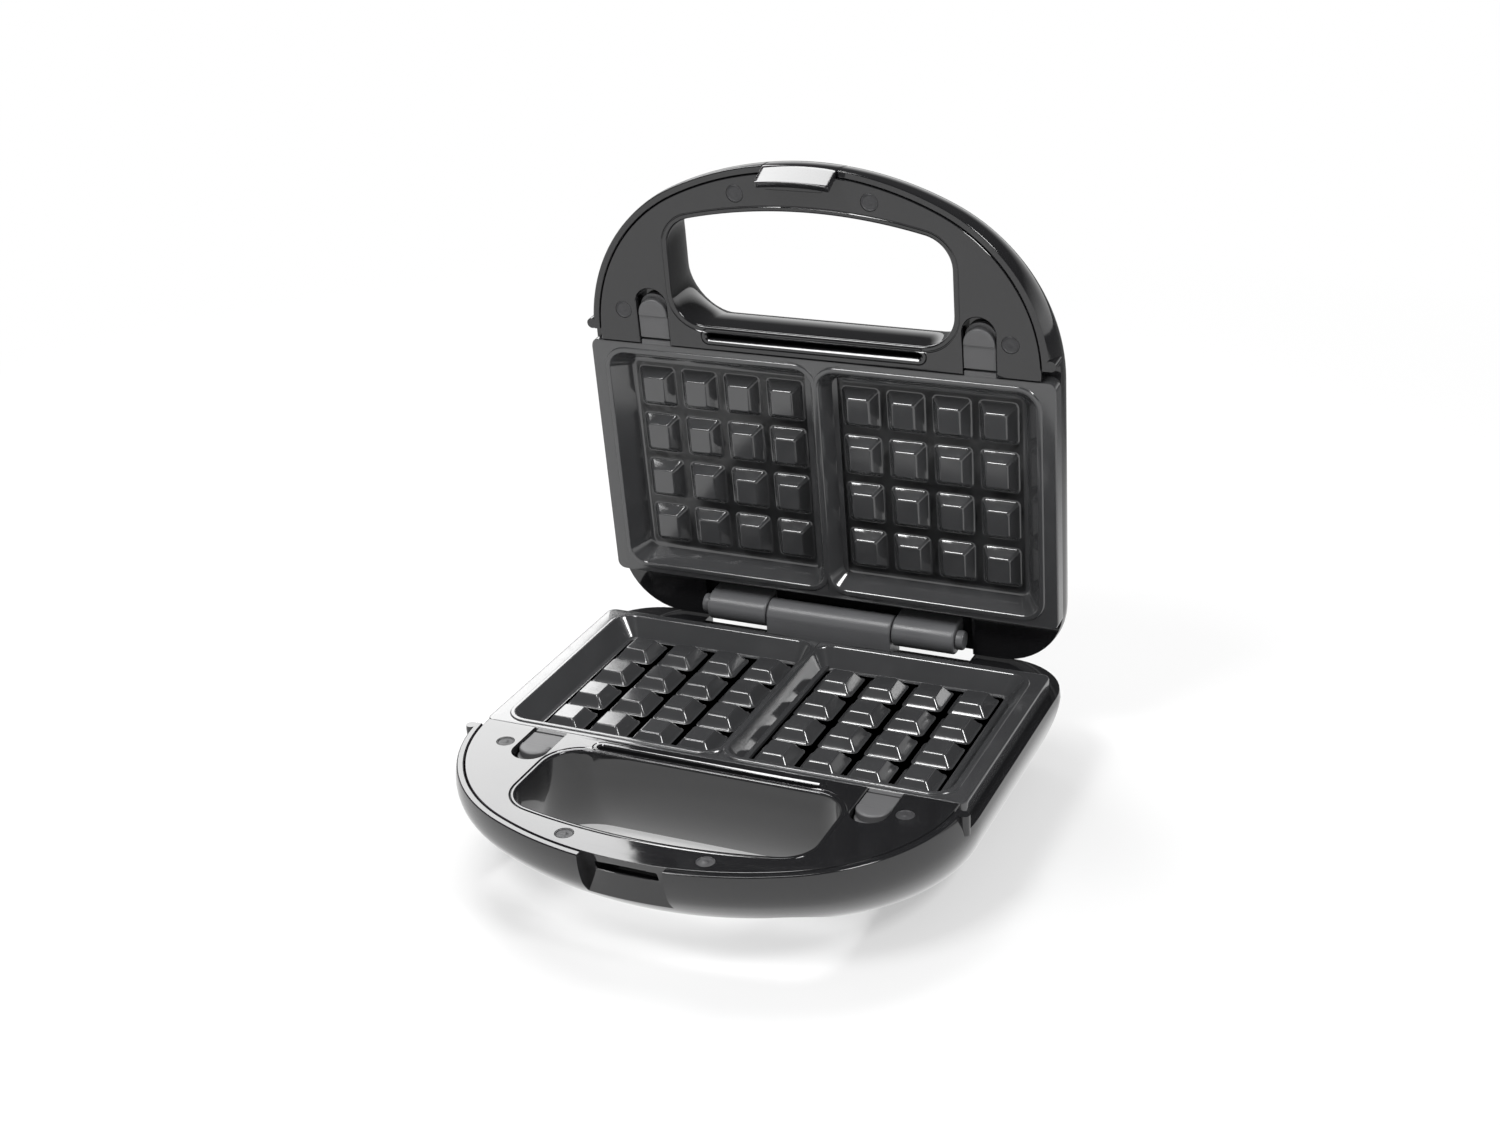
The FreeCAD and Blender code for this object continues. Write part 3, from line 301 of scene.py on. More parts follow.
# %% Metal and lenses
METAL_CLOUD, DRAWN_SCALE, DRAWN_DRIFT = 50.0, (40.0, 1200.0, 1200.0), 0.14
DRAWN_STRENGTH, DRAWN_HEIGHT = 0.08, 0.0002
LENS_CLOUD, LENS_GLEAM, LENS_CLEAR, LENS_COAT = 300.0, (0.08, 0.14), 0.35, 0.4


def drawn_metal(name, first, second, rough):
    finish = Finish(name)
    lines = finish.noise(1.0, place=finish.stretched(DRAWN_SCALE))
    return finish.wear(Base_Color=finish.tint(finish.noise(METAL_CLOUD), first, second),
                       Metallic=1.0, Roughness=finish.spread(lines, rough, rough + DRAWN_DRIFT),
                       Normal=finish.bump(lines, DRAWN_STRENGTH, DRAWN_HEIGHT))


def lens_colour(name, first, second):
    finish = Finish(name)
    cloud = finish.noise(LENS_CLOUD)
    return finish.wear(Base_Color=finish.tint(cloud, first, second),
                       Roughness=finish.spread(cloud, *LENS_GLEAM),
                       Transmission_Weight=LENS_CLEAR, Coat_Weight=LENS_COAT)


# slot: name, two colours, roughness
METALS = {
    "bare_sheet": ("plain sheet", (0.5, 0.5, 0.5), (0.6, 0.6, 0.6), 0.3),
    "heater_sheath": ("heat-tinted sheath", (0.22, 0.19, 0.17), (0.36, 0.34, 0.33), 0.38),
    "steel": ("plated steel", (0.55, 0.55, 0.56), (0.66, 0.66, 0.66), 0.22),
}
LENSES = {
    "red_lens": ("red lens", (0.45, 0.012, 0.012), (0.6, 0.02, 0.02)),
    "green_lens": ("green lens", (0.012, 0.36, 0.04), (0.02, 0.5, 0.05)),
}
finishes.update({slot: drawn_metal(*recipe) for slot, recipe in METALS.items()})
finishes.update({slot: lens_colour(*recipe) for slot, recipe in LENSES.items()})
print("metal and lens finishes:", sorted([*METALS, *LENSES]))

# %% [markdown]
# ## Finishes for the inner pieces
# The pieces that no skin covers, such as the heaters and the leads, show their CAD solids. Each of
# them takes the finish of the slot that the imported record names.

# %% CAD nodes
for part in frame["record"]["subparts"]:
    mesh = nodes[part["node"]].data
    mesh.materials.clear()
    mesh.materials.append(finishes[part["material_slot"]])
print("finishes given to", len(nodes), "CAD nodes")

# %% [markdown]
# ## Rings and skins
# Nearly every moulding here is a stack of closed outlines. The lesson's workhorse is short: lay
# rings of vertices, then let `bridge_loops` stretch a skin from each ring to the next.

# %% Ring and skin helpers
def ring(shape, points, z):
    """Closed loop of edges through the points, at one height or at a height for each point."""
    heights = z if isinstance(z, list) else [z] * len(points)
    corners = [shape.verts.new((x, y, h)) for (x, y), h in zip(points, heights)]
    return [shape.edges.new((a, b)) for a, b in zip(corners, corners[1:] + corners[:1])]


def skin(shape, rings, closed=False):
    following = rings[1:] + rings[:1] if closed else rings[1:]
    for lower, upper in zip(rings, following):
        bmesh.ops.bridge_loops(shape, edges=lower + upper)


def cap(shape, edges):
    return bmesh.ops.contextual_create(shape, geom=edges)["faces"][0]


def corner_points(half_x, half_y, radius, steps, x=0.0, y=0.0):
    """Rectangle with round corners. With no radius, the steps spread along each corner's sides."""
    points = []
    for quarter in range(4):
        turn = quarter * math.pi / 2
        sx, sy = ((1, 1), (-1, 1), (-1, -1), (1, -1))[quarter]
        for step in range(steps):
            if radius:
                angle = turn + step / (steps - 1) * math.pi / 2
                points.append((x + sx * (half_x - radius) + radius * math.cos(angle),
                               y + sy * (half_y - radius) + radius * math.sin(angle)))
                continue
            share = (step - (steps - 1) / 2) / (steps / 2)
            away_x = max(0.0, share) if sx == sy else max(0.0, -share)
            away_y = max(0.0, -share) if sx == sy else max(0.0, share)
            points.append((x + sx * half_x * (1 - away_x), y + sy * half_y * (1 - away_y)))
    return points


print("ring helpers ready")

# %% [markdown]
# ## From a drawing to a piece
# `finished` closes each job. It moves the drawing to its half, turns the faces outwards and marks
# the creases that should stay sharp. It then weighs the shading, gives the piece its finish, hangs
# it on its body's empty and hides the CAD nodes that it stands for.

# %% Finishing a piece
CREASE = math.radians(32)
WELD = 0.0005


def weigh_normals(piece):
    """Let large faces rule the shading, so that flats stay flat beside their small rounds."""
    rough = piece.data
    step = piece.modifiers.new("weigh", "WEIGHTED_NORMAL")
    step.keep_sharp = True
    weighed = piece.evaluated_get(bpy.context.evaluated_depsgraph_get())
    piece.data = bpy.data.meshes.new_from_object(weighed)
    piece.modifiers.clear()
    name = rough.name
    bpy.data.meshes.remove(rough)
    piece.data.name = name


def finished(shape, name, place, body, slot, stands_for=()):
    """Make a piece of the drawing, set in its half, with its finish, on its body; hide its CAD
    nodes.
    """
    bmesh.ops.remove_doubles(shape, verts=shape.verts, dist=WELD)
    bmesh.ops.recalc_face_normals(shape, faces=shape.faces)
    bmesh.ops.transform(shape, matrix=place, verts=shape.verts)
    if place.determinant() < 0:
        bmesh.ops.reverse_faces(shape, faces=shape.faces)
    for face in shape.faces:
        face.smooth = True
    for edge in shape.edges:
        edge.smooth = len(edge.link_faces) == 2 and edge.calc_face_angle(0) < CREASE
    mesh = bpy.data.meshes.new(name)
    shape.to_mesh(mesh)
    shape.free()
    mesh.materials.append(finishes[slot])
    piece = bpy.data.objects.new(name, mesh)
    bpy.context.scene.collection.objects.link(piece)
    weigh_normals(piece)
    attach(piece, body)
    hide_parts(*stands_for)
    print(name, len(piece.data.polygons), "faces")


print("pieces go to", [half for half, place in HALVES])

# %% [markdown]
# ## The cooking plates: a stud
# Each plate is one aluminium casting: two sloped pockets, a raised bead round each pocket and 32
# tapered studs. Cast edges are never sharp, so every corner gets a small round. One stud stands on
# one tile of the floor, which will be copied into a grid. Because the tiles meet edge to edge, the
# whole casting becomes one closed skin.

# %% Stud tile
STEPS = 7
POCKET_DEPTH = 8.5
STUDS, STUD_PITCH, STUD_BASE, STUD_TAPER, STUD_HEIGHT = 4, (21.2, 23.6), (17.0, 18.8), 7.0, 5.0
STUD_CORNER, STUD_CORNER_LOSS = 1.6, 0.5
# rings of the stud: reach beyond its foot, height, corner radius
STUD_FOOT_ROUND = [(0.7, 0.0, 2.4), (0.2, 0.1, 2.0), (-0.25, 0.45, STUD_CORNER)]
STUD_SIDE_SHARES = (0.35, 0.7, 0.86)
STUD_TOP_ROUND = [(-3.25, 4.6, 1.15), (-3.45, 4.83, 1.1), (-3.72, 4.96, 1.0),
                  (-4.1, STUD_HEIGHT, 0.9)]


def stud_tile(shape):
    """A floor tile with its tapered stud: foot round, sloping sides, top round and flat top."""
    sides = [(-share * STUD_TAPER / 2, share * STUD_HEIGHT, STUD_CORNER - share * STUD_CORNER_LOSS)
             for share in STUD_SIDE_SHARES]
    tile_edge = corner_points(STUD_PITCH[0] / 2, STUD_PITCH[1] / 2, 0, STEPS)
    rings = [ring(shape, tile_edge, -POCKET_DEPTH)]
    for out, rise, radius in STUD_FOOT_ROUND + sides + STUD_TOP_ROUND:
        points = corner_points(STUD_BASE[0] / 2 + out, STUD_BASE[1] / 2 + out, radius, STEPS)
        rings.append(ring(shape, points, rise - POCKET_DEPTH))
    skin(shape, rings)
    cap(shape, rings[-1])


print("stud pitch", STUD_PITCH, "mm")

# %% [markdown]
# ## The bead
# A low bead runs round each pocket, and the two beads merge between the pockets. A formula for its
# height is easier to keep closed than two separate strips: how far does a point lie outside the
# nearer mouth, and how high is the bead there? Any ring can then ask for its own height.

# %% Bead
MOUTH_CENTRE, MOUTH_X, MOUTH_Y, MOUTH_CORNER = 51.3, 49.7, 54.4, 8.0
BEAD_WIDTH, BEAD_FLANK, BEAD_DOME = 2.8, 0.6, 0.2


def mouth_distance(x, y):
    """How far a point lies outside the nearer pocket's mouth."""
    away_x = abs(abs(x) - MOUTH_CENTRE) - MOUTH_X + MOUTH_CORNER
    away_y = abs(y) - MOUTH_Y + MOUTH_CORNER
    outside = math.hypot(max(away_x, 0), max(away_y, 0))
    return outside + min(max(away_x, away_y), 0) - MOUTH_CORNER


def bead_rise(x, y):
    """Height of the bead: rounded flanks and a crown that is slightly domed."""
    away = min(max(mouth_distance(x, y), 0.0), BEAD_WIDTH)
    climb = min(away / BEAD_FLANK, (BEAD_WIDTH - away) / BEAD_FLANK, 1.0)
    flank = math.sin(climb * math.pi / 2)
    dome = math.sin(away / BEAD_WIDTH * math.pi)
    return BEAD_HEIGHT * (flank * (1 - BEAD_DOME) + dome * BEAD_DOME)


print("bead", BEAD_HEIGHT, "mm high")

# %% [markdown]
# ## Pocket wall, bead and skirt
# From the floor's edge the rings climb the sloped wall, cross the bead and the flat border, and go
# down the skirt. The underside is inset and sunk to the bottom of the tub that holds the heater.

# %% Pocket
PLATE_HALF_X, PLATE_HALF_Y, PLATE_SKIRT, PLATE_CORNER = 110.0, 60.0, 7.0, 4.0
POCKET_X, POCKET_HALF_X, POCKET_HALF_Y, POCKET_CORNER = 50.0, 44.0, 49.0, 4.2
TUB_INSET, PLATE_UNDER = 7.75, -11.0
POCKET_FLOOR_ROUND = ((1.4, 0.0), (0.5, 0.15))  # inset, rise above the floor
POCKET_WALL_SHARES = (0.05, 0.12, 0.5, 0.93, 0.98)
BEAD_RINGS = (0.08, 0.25, 0.42, 0.6, 1.2, 2.2, 2.38, 2.55, 2.8, 3.2)
PLATE_EDGE = ((0.9, 0.0), (0.3, -0.25), (0.0, -0.9), (0.0, -PLATE_SKIRT))  # inset, height


def half_outline(reach_x, reach_y, radius):
    """Outer edge of half a plate, cut off square at its middle line."""
    points = corner_points(reach_x / 2, reach_y, radius, STEPS, reach_x / 2)
    square = corner_points(reach_x / 2, reach_y, 0, STEPS, reach_x / 2)
    inner = range(STEPS, 3 * STEPS)
    return [square[i] if i in inner else point for i, point in enumerate(points)]


def foot_points(inset):
    return corner_points(POCKET_HALF_X - inset, POCKET_HALF_Y - inset, POCKET_CORNER - inset, STEPS,
                         POCKET_X)


def mouth_points(out):
    return corner_points(MOUTH_X + out, MOUTH_Y + out, MOUTH_CORNER + out, STEPS, MOUTH_CENTRE)


def pocket_skin(shape):
    """Wall, bead, border, skirt and underside of half a plate. Hands back the ring on the floor."""
    rings = [ring(shape, foot_points(inset), rise - POCKET_DEPTH)
             for inset, rise in POCKET_FLOOR_ROUND]
    for share in POCKET_WALL_SHARES:
        points = [(a + (c - a) * share, b + (d - b) * share)
                  for (a, b), (c, d) in zip(foot_points(0), mouth_points(0))]
        rings.append(ring(shape, points, (share - 1) * POCKET_DEPTH))
    for out in BEAD_RINGS:
        points = [(max(x, 0.0), y) for x, y in mouth_points(out)]
        rings.append(ring(shape, points, [bead_rise(x, y) for x, y in points]))
    for inset, z in PLATE_EDGE:
        points = half_outline(PLATE_HALF_X - inset, PLATE_HALF_Y - inset, PLATE_CORNER - inset)
        heights = [z + bead_rise(x, y) if z == 0.0 else z for x, y in points]
        rings.append(ring(shape, points, heights))
    skin(shape, rings)
    under = cap(shape, rings[-1])
    bmesh.ops.inset_individual(shape, faces=[under], thickness=TUB_INSET, use_even_offset=True)
    tub = bmesh.ops.extrude_discrete_faces(shape, faces=[under])["faces"][0]
    bmesh.ops.translate(shape, vec=(0, 0, PLATE_UNDER + PLATE_SKIRT), verts=tub.verts)
    return rings[0]


print("pocket", 2 * POCKET_HALF_X, "by", 2 * POCKET_HALF_Y, "mm at its floor")

# %% [markdown]
# ## Casting a plate
# The tile is duplicated into a grid of four by four and welded. One bridge ties the grid's border
# to the pocket wall. The faces on the middle line are opened, and a mirror makes the second pocket.

# %% Plates
TOUCH = 0.001


def casting():
    shape = bmesh.new()
    stud_tile(shape)
    tile = shape.verts[:] + shape.edges[:] + shape.faces[:]
    middle = (STUDS - 1) / 2
    offsets = [((i - middle) * STUD_PITCH[0] + POCKET_X, (j - middle) * STUD_PITCH[1], 0)
               for i in range(STUDS) for j in range(STUDS)]
    copies = [bmesh.ops.duplicate(shape, geom=tile)["geom"] for _ in offsets[1:]]
    for geometry, offset in zip([tile] + copies, offsets):
        corners = [item for item in geometry if isinstance(item, bmesh.types.BMVert)]
        bmesh.ops.translate(shape, vec=offset, verts=corners)
    bmesh.ops.remove_doubles(shape, verts=shape.verts, dist=TOUCH)
    grid_edge = [edge for edge in shape.edges if edge.is_boundary]
    bmesh.ops.bridge_loops(shape, edges=grid_edge + pocket_skin(shape))
    seam = [face for face in shape.faces
            if all(abs(corner.co.x) < TOUCH for corner in face.verts)]
    bmesh.ops.delete(shape, geom=seam, context="FACES")
    bmesh.ops.remove_doubles(shape, verts=shape.verts, dist=TOUCH)
    everything = shape.verts[:] + shape.edges[:] + shape.faces[:]
    bmesh.ops.mirror(shape, geom=everything, axis="X", merge_dist=TOUCH)
    return shape


for half, place in HALVES:
    finished(casting(), half + "_stud_plate", place, half, "coated_plate", [half + "_plate"])

# %% [markdown]
# ## The housings: a D-shaped rim
# Each half is a moulded bowl with a D-shaped rim: a wide arc at the handle, two tighter arcs at its
# corners and straight sides. One function draws that outline from its radii, because the bowl, the
# deck and the handle opening are all the same D at other sizes. A deck ends square, at a cut.

# %% The D-shaped outline
RIM_FRONT, RIM_REAR, REAR_CORNER = 148.5, 82.0, 30.0
FRONT_ARC_MORE, CORNER_ARC_LESS = 37.0, 28.0
RIM_HALF = {"base": 111.5, "lid": 107.0}
ARC_STEPS, SIDE_STEPS, REAR_STEPS, CUT_SIDE_STEPS, CUT_STEPS = 26, 6, 12, 2, 14


def arc_points(x, y, radius, start, end, steps):
    """Points on an arc, without its last one. Angle 0 points to -y and turns towards +x."""
    angles = [start + (end - start) * step / steps for step in range(steps)]
    return [(x + radius * math.sin(a), y - radius * math.cos(a)) for a in angles]


def straight_points(first, last, steps):
    return [tuple(a + (b - a) * step / steps for a, b in zip(first, last)) for step in range(steps)]


def d_outline(half, front, rear, front_radius, corner_radius, rear_radius, cut=None):
    """Closed D outline from the middle of the front, or the same cut off square at y = cut."""
    front_y = front_radius - front
    corner_x = half - corner_radius
    corner_y = front_y - math.sqrt((front_radius - corner_radius) ** 2 - corner_x ** 2)
    lean = math.atan2(corner_x, front_y - corner_y)
    side = math.pi / 2
    if cut is not None and cut < corner_y:
        side = math.acos((corner_y - cut) / corner_radius)
    points = arc_points(0, front_y, front_radius, 0, lean, ARC_STEPS)
    points += arc_points(corner_x, corner_y, corner_radius, lean, side, ARC_STEPS)
    turned_x = corner_x + corner_radius * math.sin(side)
    turned_y = corner_y - corner_radius * math.cos(side)
    if cut is None:
        points += straight_points((turned_x, turned_y), (half, rear - rear_radius), SIDE_STEPS)
        points += arc_points(half - rear_radius, rear - rear_radius, rear_radius, math.pi / 2,
                             math.pi, REAR_STEPS)
        points += straight_points((half - rear_radius, rear), (0, rear), REAR_STEPS)
    else:
        side_steps = CUT_SIDE_STEPS if cut > turned_y else 1
        points += straight_points((turned_x, turned_y), (turned_x, cut), side_steps)
        points += straight_points((turned_x, cut), (0, cut), CUT_STEPS)
    last = (0, rear if cut is None else cut)
    return points + [last] + [(-x, y) for x, y in reversed(points[1:])]


def rim_outline(half, side_in, front_in, rear_in, cut=None):
    half = half - side_in
    return d_outline(half, RIM_FRONT - front_in, RIM_REAR - rear_in, half + FRONT_ARC_MORE,
                     half - CORNER_ARC_LESS, REAR_CORNER, cut)


print("rim points:", len(rim_outline(RIM_HALF["base"], 0, 0, 0)))

# %% [markdown]
# ## The bowl's curve
# The wall swells below the rim and then turns in to a flat floor. Two short formulas give the
# height and the insets of the outline along that curve, one above the widest part and one below it.

# %% The bowl
DECK_TOP, DECK_UNDER = 0.8, -2.2
WALL = 2.5
BELLY_DEPTH, BELLY_OUT, BELLY_REAR_OUT, BELLY_FRONT_IN = 11.0, 3.5, 1.5, 2.0
FLOOR_DEPTH, FLOOR_IN, FLOOR_REAR_IN, FLOOR_FRONT_IN, FULLNESS = 43.0, 16.0, 32.0, 56.0, 0.7
BOWL_STEPS, HOLLOW_STEPS = (6, 20), (3, 10)  # above and below the widest part


def belly(share):
    """Height and insets from the rim (0) to the widest part (1)."""
    swell = math.sin(share * math.pi / 2)
    return (DECK_TOP - share * (BELLY_DEPTH + DECK_TOP), -BELLY_OUT * swell,
            BELLY_FRONT_IN * share ** 2, -BELLY_REAR_OUT * swell)


def turn_in(share, inset):
    """Height and insets from the widest part (0) to the floor (1)."""
    turn = share * math.pi / 2
    shrink = 1 - math.cos(turn)
    slope = shrink ** FULLNESS
    return (-BELLY_DEPTH - (FLOOR_DEPTH - inset - BELLY_DEPTH) * math.sin(turn),
            (FLOOR_IN + BELLY_OUT) * slope - BELLY_OUT,
            (FLOOR_FRONT_IN - BELLY_FRONT_IN) * slope + BELLY_FRONT_IN,
            (FLOOR_REAR_IN + BELLY_REAR_OUT) * shrink - BELLY_REAR_OUT)


def levels(inset, rim_steps, turn_steps, first=0.0):
    """Heights and insets from the rim to the floor. The first ones may be left out."""
    made = [belly(first + (1 - first) * step / rim_steps) for step in range(rim_steps + 1)]
    made += [turn_in(step / turn_steps, inset) for step in range(1, turn_steps + 1)]
    return [(z, side + inset, front + inset, rear + inset) for z, side, front, rear in made]


print("bowl levels:", len(levels(0, *BOWL_STEPS)))

# %% [markdown]
# ## Cutting with booleans
# A Boolean modifier cuts one mesh with another. `carved` runs a list of cuts and hands back a
# bmesh, so the next step can go on with operators. The cutters are blocks, rods and skinned rings.

# %% Boolean helper and cutters
FAR, PAST = 300.0, 3.0  # how far a cutter reaches beyond everything, or just past a face
ROD_SIDES = 40


def held(shape, name):
    mesh = bpy.data.meshes.new(name)
    shape.to_mesh(mesh)
    shape.free()
    holder = bpy.data.objects.new(name, mesh)
    bpy.context.scene.collection.objects.link(holder)
    return holder


def carved(shape, tools, operation="DIFFERENCE"):
    body = held(shape, "blank")
    cutters = [held(tool, "cutter") for tool in tools]
    for cutter in cutters:
        step = body.modifiers.new("cut", "BOOLEAN")
        step.operation, step.object, step.solver = operation, cutter, "EXACT"
    result = bmesh.new()
    result.from_object(body, bpy.context.evaluated_depsgraph_get())
    for holder in [body] + cutters:
        mesh = holder.data
        bpy.data.objects.remove(holder)
        bpy.data.meshes.remove(mesh)
    return result


def block(x0, x1, y0, y1, z0, z1):
    shape = bmesh.new()
    middle = Matrix.Translation(((x0 + x1) / 2, (y0 + y1) / 2, (z0 + z1) / 2))
    size = Matrix.Diagonal((x1 - x0, y1 - y0, z1 - z0, 1))
    bmesh.ops.create_cube(shape, size=1, matrix=middle @ size)
    return shape


def rods(places, radius, z0, z1):
    shape = bmesh.new()
    for x, y in places:
        bmesh.ops.create_cone(shape, cap_ends=True, segments=ROD_SIDES, radius1=radius,
                              radius2=radius, depth=z1 - z0,
                              matrix=Matrix.Translation((x, y, (z0 + z1) / 2)))
    return shape


def add_stack(shape, stack):
    """Skin outlines given as (points, height) and close both ends."""
    rings = [ring(shape, points, z) for points, z in stack]
    skin(shape, rings)
    cap(shape, rings[0])
    cap(shape, rings[-1])


def ring_solid(stack):
    shape = bmesh.new()
    add_stack(shape, stack)
    bmesh.ops.recalc_face_normals(shape, faces=shape.faces)
    return shape


print("cutters ready")

# %% [markdown]
# ## The handle opening
# The hand goes through a D-shaped opening in each half. Its wall stays upright near the deck and
# flares towards the outside of the housing, so a power of the depth gives the flare. The same room,
# let out by the thickness of the collar, keeps a wall standing round the opening.

# %% Handle opening
OPENING_HALF, OPENING_FRONT, OPENING_REAR = 66.0, 127.6, 71.5
OPENING_ARC, OPENING_CORNER = 240.0, 15.0
OPENING_FLARE, OPENING_FLARE_POWER, OPENING_BANDS, COLLAR_WALL = 14.5, 2.2, 14, 1.6


def opening_points(outset):
    corner = OPENING_CORNER + outset
    return d_outline(OPENING_HALF + outset, OPENING_FRONT + outset, outset - OPENING_REAR,
                     OPENING_ARC + outset, corner, corner)


def opening_solid(outset, top):
    depth = DECK_UNDER + FLOOR_DEPTH + WALL
    stack = []
    for band in range(OPENING_BANDS, -1, -1):
        share = band / OPENING_BANDS
        flare = OPENING_FLARE * share ** OPENING_FLARE_POWER
        stack.append((opening_points(outset + flare), DECK_UNDER - share * depth))
    if top > DECK_UNDER:
        stack.append((opening_points(outset), top))
    return ring_solid(stack)


print("handle opening", 2 * OPENING_HALF, "mm wide")

# %% [markdown]
# ## Bowl and hollow
# The outlines are stacked up the bowl's curve and over a rounded lip. A second stack, set in by the
# wall, is the room inside. A thicker lip closes in on the deck, and its inner edge is rounded too.

# %% Bowl and hollow
LIP_THICK, LIP_ROUND, LIP_FOOT = 3.05, 0.6, -2.6
LIP_TURNS = (30, 60, 90)
HOLLOW_FROM = 0.32  # share of the belly where the hollow's wall meets the thicker lip


def lip_round(angles):
    """Heights and roundings of the lip's quarter round, from its side (0) to its top (90)."""
    turns = [math.radians(angle) for angle in angles]
    return [(DECK_TOP - LIP_ROUND * (1 - math.sin(turn)), LIP_ROUND * (1 - math.cos(turn)))
            for turn in turns]


def rim_solid(half, stack):
    return ring_solid([(rim_outline(half, side, front, rear), z) for z, side, front, rear in stack])


def bowl_solid(half):
    """The bowl without its hollow, with a rounded lip."""
    stack = levels(0, *BOWL_STEPS, LIP_ROUND / (BELLY_DEPTH + DECK_TOP))[::-1]
    stack += [(z, back, back, back) for z, back in lip_round(LIP_TURNS)]
    return rim_solid(half, stack)


def bowl_hollow(half):
    """The room inside the wall, with the thicker lip at its mouth."""
    lip = [(LIP_FOOT, LIP_THICK)]
    lip += [(z, LIP_THICK - back) for z, back in lip_round((0, *LIP_TURNS))]
    lip.append((DECK_TOP + PAST, LIP_THICK - LIP_ROUND))
    stack = levels(WALL, *HOLLOW_STEPS, HOLLOW_FROM)[::-1]
    return rim_solid(half, stack + [(z, inset, inset, inset) for z, inset in lip])


print("lip", LIP_THICK, "mm thick")

# %% [markdown]
# ## One recipe for both shells
# Flat ledges and hollows are easier to cut than to weave. What has to stay standing in the hollow,
# such as the ledge under the plate, the hinge bay, the collar and the screw bosses, is first cut
# out of the hollow itself. The hollow and the open rooms are then cut from the full bowl.

# %% Shell
SIDES = (-1, 1)
STEP_FRONT, LEDGE_DEPTH = 65.5, 7.0
LEDGE_UNDER = -LEDGE_DEPTH - WALL
SEAT_X, SEAT_Y = 105.0, 57.5
BAY_HALF, BAY_DEPTH, BAY_FRONT = 67.0, 11.5, 63.5
FRONT_SCREW, SIDE_SCREW, BOSS_RADIUS, BOSS_SPLIT = (30.7, -134.4), (90.6, -76.1), 5.5, -8.2
SCREWS = [(side * x, y) for x, y in (FRONT_SCREW, SIDE_SCREW) for side in SIDES]
NUB_OUT, NUB_RADIUS, NUB_DEPTH = 0.8, 2.4, 8.0


def shell(half, recess_wall, recess_cuts, posts):
    """A half's housing. Nubs and posts are added to the bowl, and the recess gets its own wall."""
    hollow = carved(bowl_hollow(half), [
        block(-FAR, FAR, -STEP_FRONT - WALL, FAR, LEDGE_UNDER, -LEDGE_DEPTH),
        block(-BAY_HALF - WALL, BAY_HALF + WALL, BAY_FRONT - WALL, FAR, -BAY_DEPTH - WALL,
              -LEDGE_DEPTH),
        opening_solid(COLLAR_WALL, DECK_UNDER),
        rods(SCREWS, BOSS_RADIUS, -FLOOR_DEPTH, BOSS_SPLIT),
        recess_wall])
    nub_places = [(side * (half + NUB_OUT), -STEP_FRONT - NUB_RADIUS) for side in SIDES]
    nubs = rods(nub_places, NUB_RADIUS, -NUB_DEPTH, DECK_TOP)
    solid = carved(bowl_solid(half), [nubs] + posts, "UNION")
    return carved(solid, [
        hollow,
        block(-FAR, FAR, -STEP_FRONT, FAR, -LEDGE_DEPTH, FAR),
        block(-SEAT_X, SEAT_X, -SEAT_Y, SEAT_Y, LEDGE_UNDER - WALL, FAR),
        block(-BAY_HALF, BAY_HALF, BAY_FRONT, FAR, -BAY_DEPTH, FAR),
        opening_solid(0, DECK_TOP)] + recess_cuts)


print("screw places:", SCREWS)

# %% [markdown]
# ## The catch
# The closed latch hangs in a recess of the base and hooks into a slot there. The back wall of that
# recess leans with the latch's blade and runs out upright below it, so the blade itself, let out by
# a gap, is what shapes the cutter. The slot is drawn flat, and a matrix leans it with the wall.

# %% Catch recess and slot
CATCH_HALF, CATCH_DEPTH, CATCH_BACK, RECESS_TOP = 18.5, 20.0, 131.0, 60.0
LATCH_THICK, LATCH_REACH, LATCH_LEAN, LATCH_GAP = 3.0, 11.0, 4.0, 0.5
BLADE_SLOPE = LATCH_LEAN / (LATCH_REACH - DECK_TOP)
CATCH_SLOT_HALF, CATCH_SLOT_HEIGHT, CATCH_SLOT_Z, CATCH_SLOT_CORNER = 13.5, 4.5, -5.75, 0.8
CATCH_SLOT_MOUTH = ((0.0, -0.8), (0.3, -0.3), (0.9, 0.1), (1.6, 0.7))  # outset, way ahead


def catch_space():
    """Room for the closed latch."""
    clear = LATCH_THICK + LATCH_GAP
    tip = rim_outline(RIM_HALF["lid"], clear + LATCH_LEAN, clear + LATCH_LEAN, clear)
    blade = ring_solid([(tip, -CATCH_DEPTH), (tip, CLOSED_GAP - LATCH_REACH),
                        (rim_outline(RIM_HALF["lid"], clear, clear, clear), CLOSED_GAP - DECK_TOP)])
    room = block(-CATCH_HALF, CATCH_HALF, -FAR, -CATCH_BACK, -CATCH_DEPTH, RECESS_TOP)
    return carved(room, [blade])


def catch_slot():
    """The slot for the hook, with a mouth that opens out."""
    rise = CLOSED_GAP - CATCH_SLOT_Z - DECK_TOP
    panel = RIM_FRONT - LATCH_THICK - LATCH_GAP - BLADE_SLOPE * rise
    stack = []
    for outset, ahead in ((0.0, CATCH_BACK - panel), *CATCH_SLOT_MOUTH):
        points = corner_points(CATCH_SLOT_HALF + outset, CATCH_SLOT_HEIGHT / 2 + outset,
                               CATCH_SLOT_CORNER + outset, STEPS, 0, CATCH_SLOT_Z)
        stack.append((points, panel + ahead))
    shape = ring_solid(stack)
    leaning = Matrix(((1, 0, 0, 0), (0, -BLADE_SLOPE, -1, BLADE_SLOPE * CATCH_SLOT_Z),
                      (0, 1, 0, 0), (0, 0, 0, 1)))
    bmesh.ops.transform(shape, matrix=leaning, verts=shape.verts)
    bmesh.ops.recalc_face_normals(shape, faces=shape.faces)
    return shape


print("blade slope", round(BLADE_SLOPE, 3))

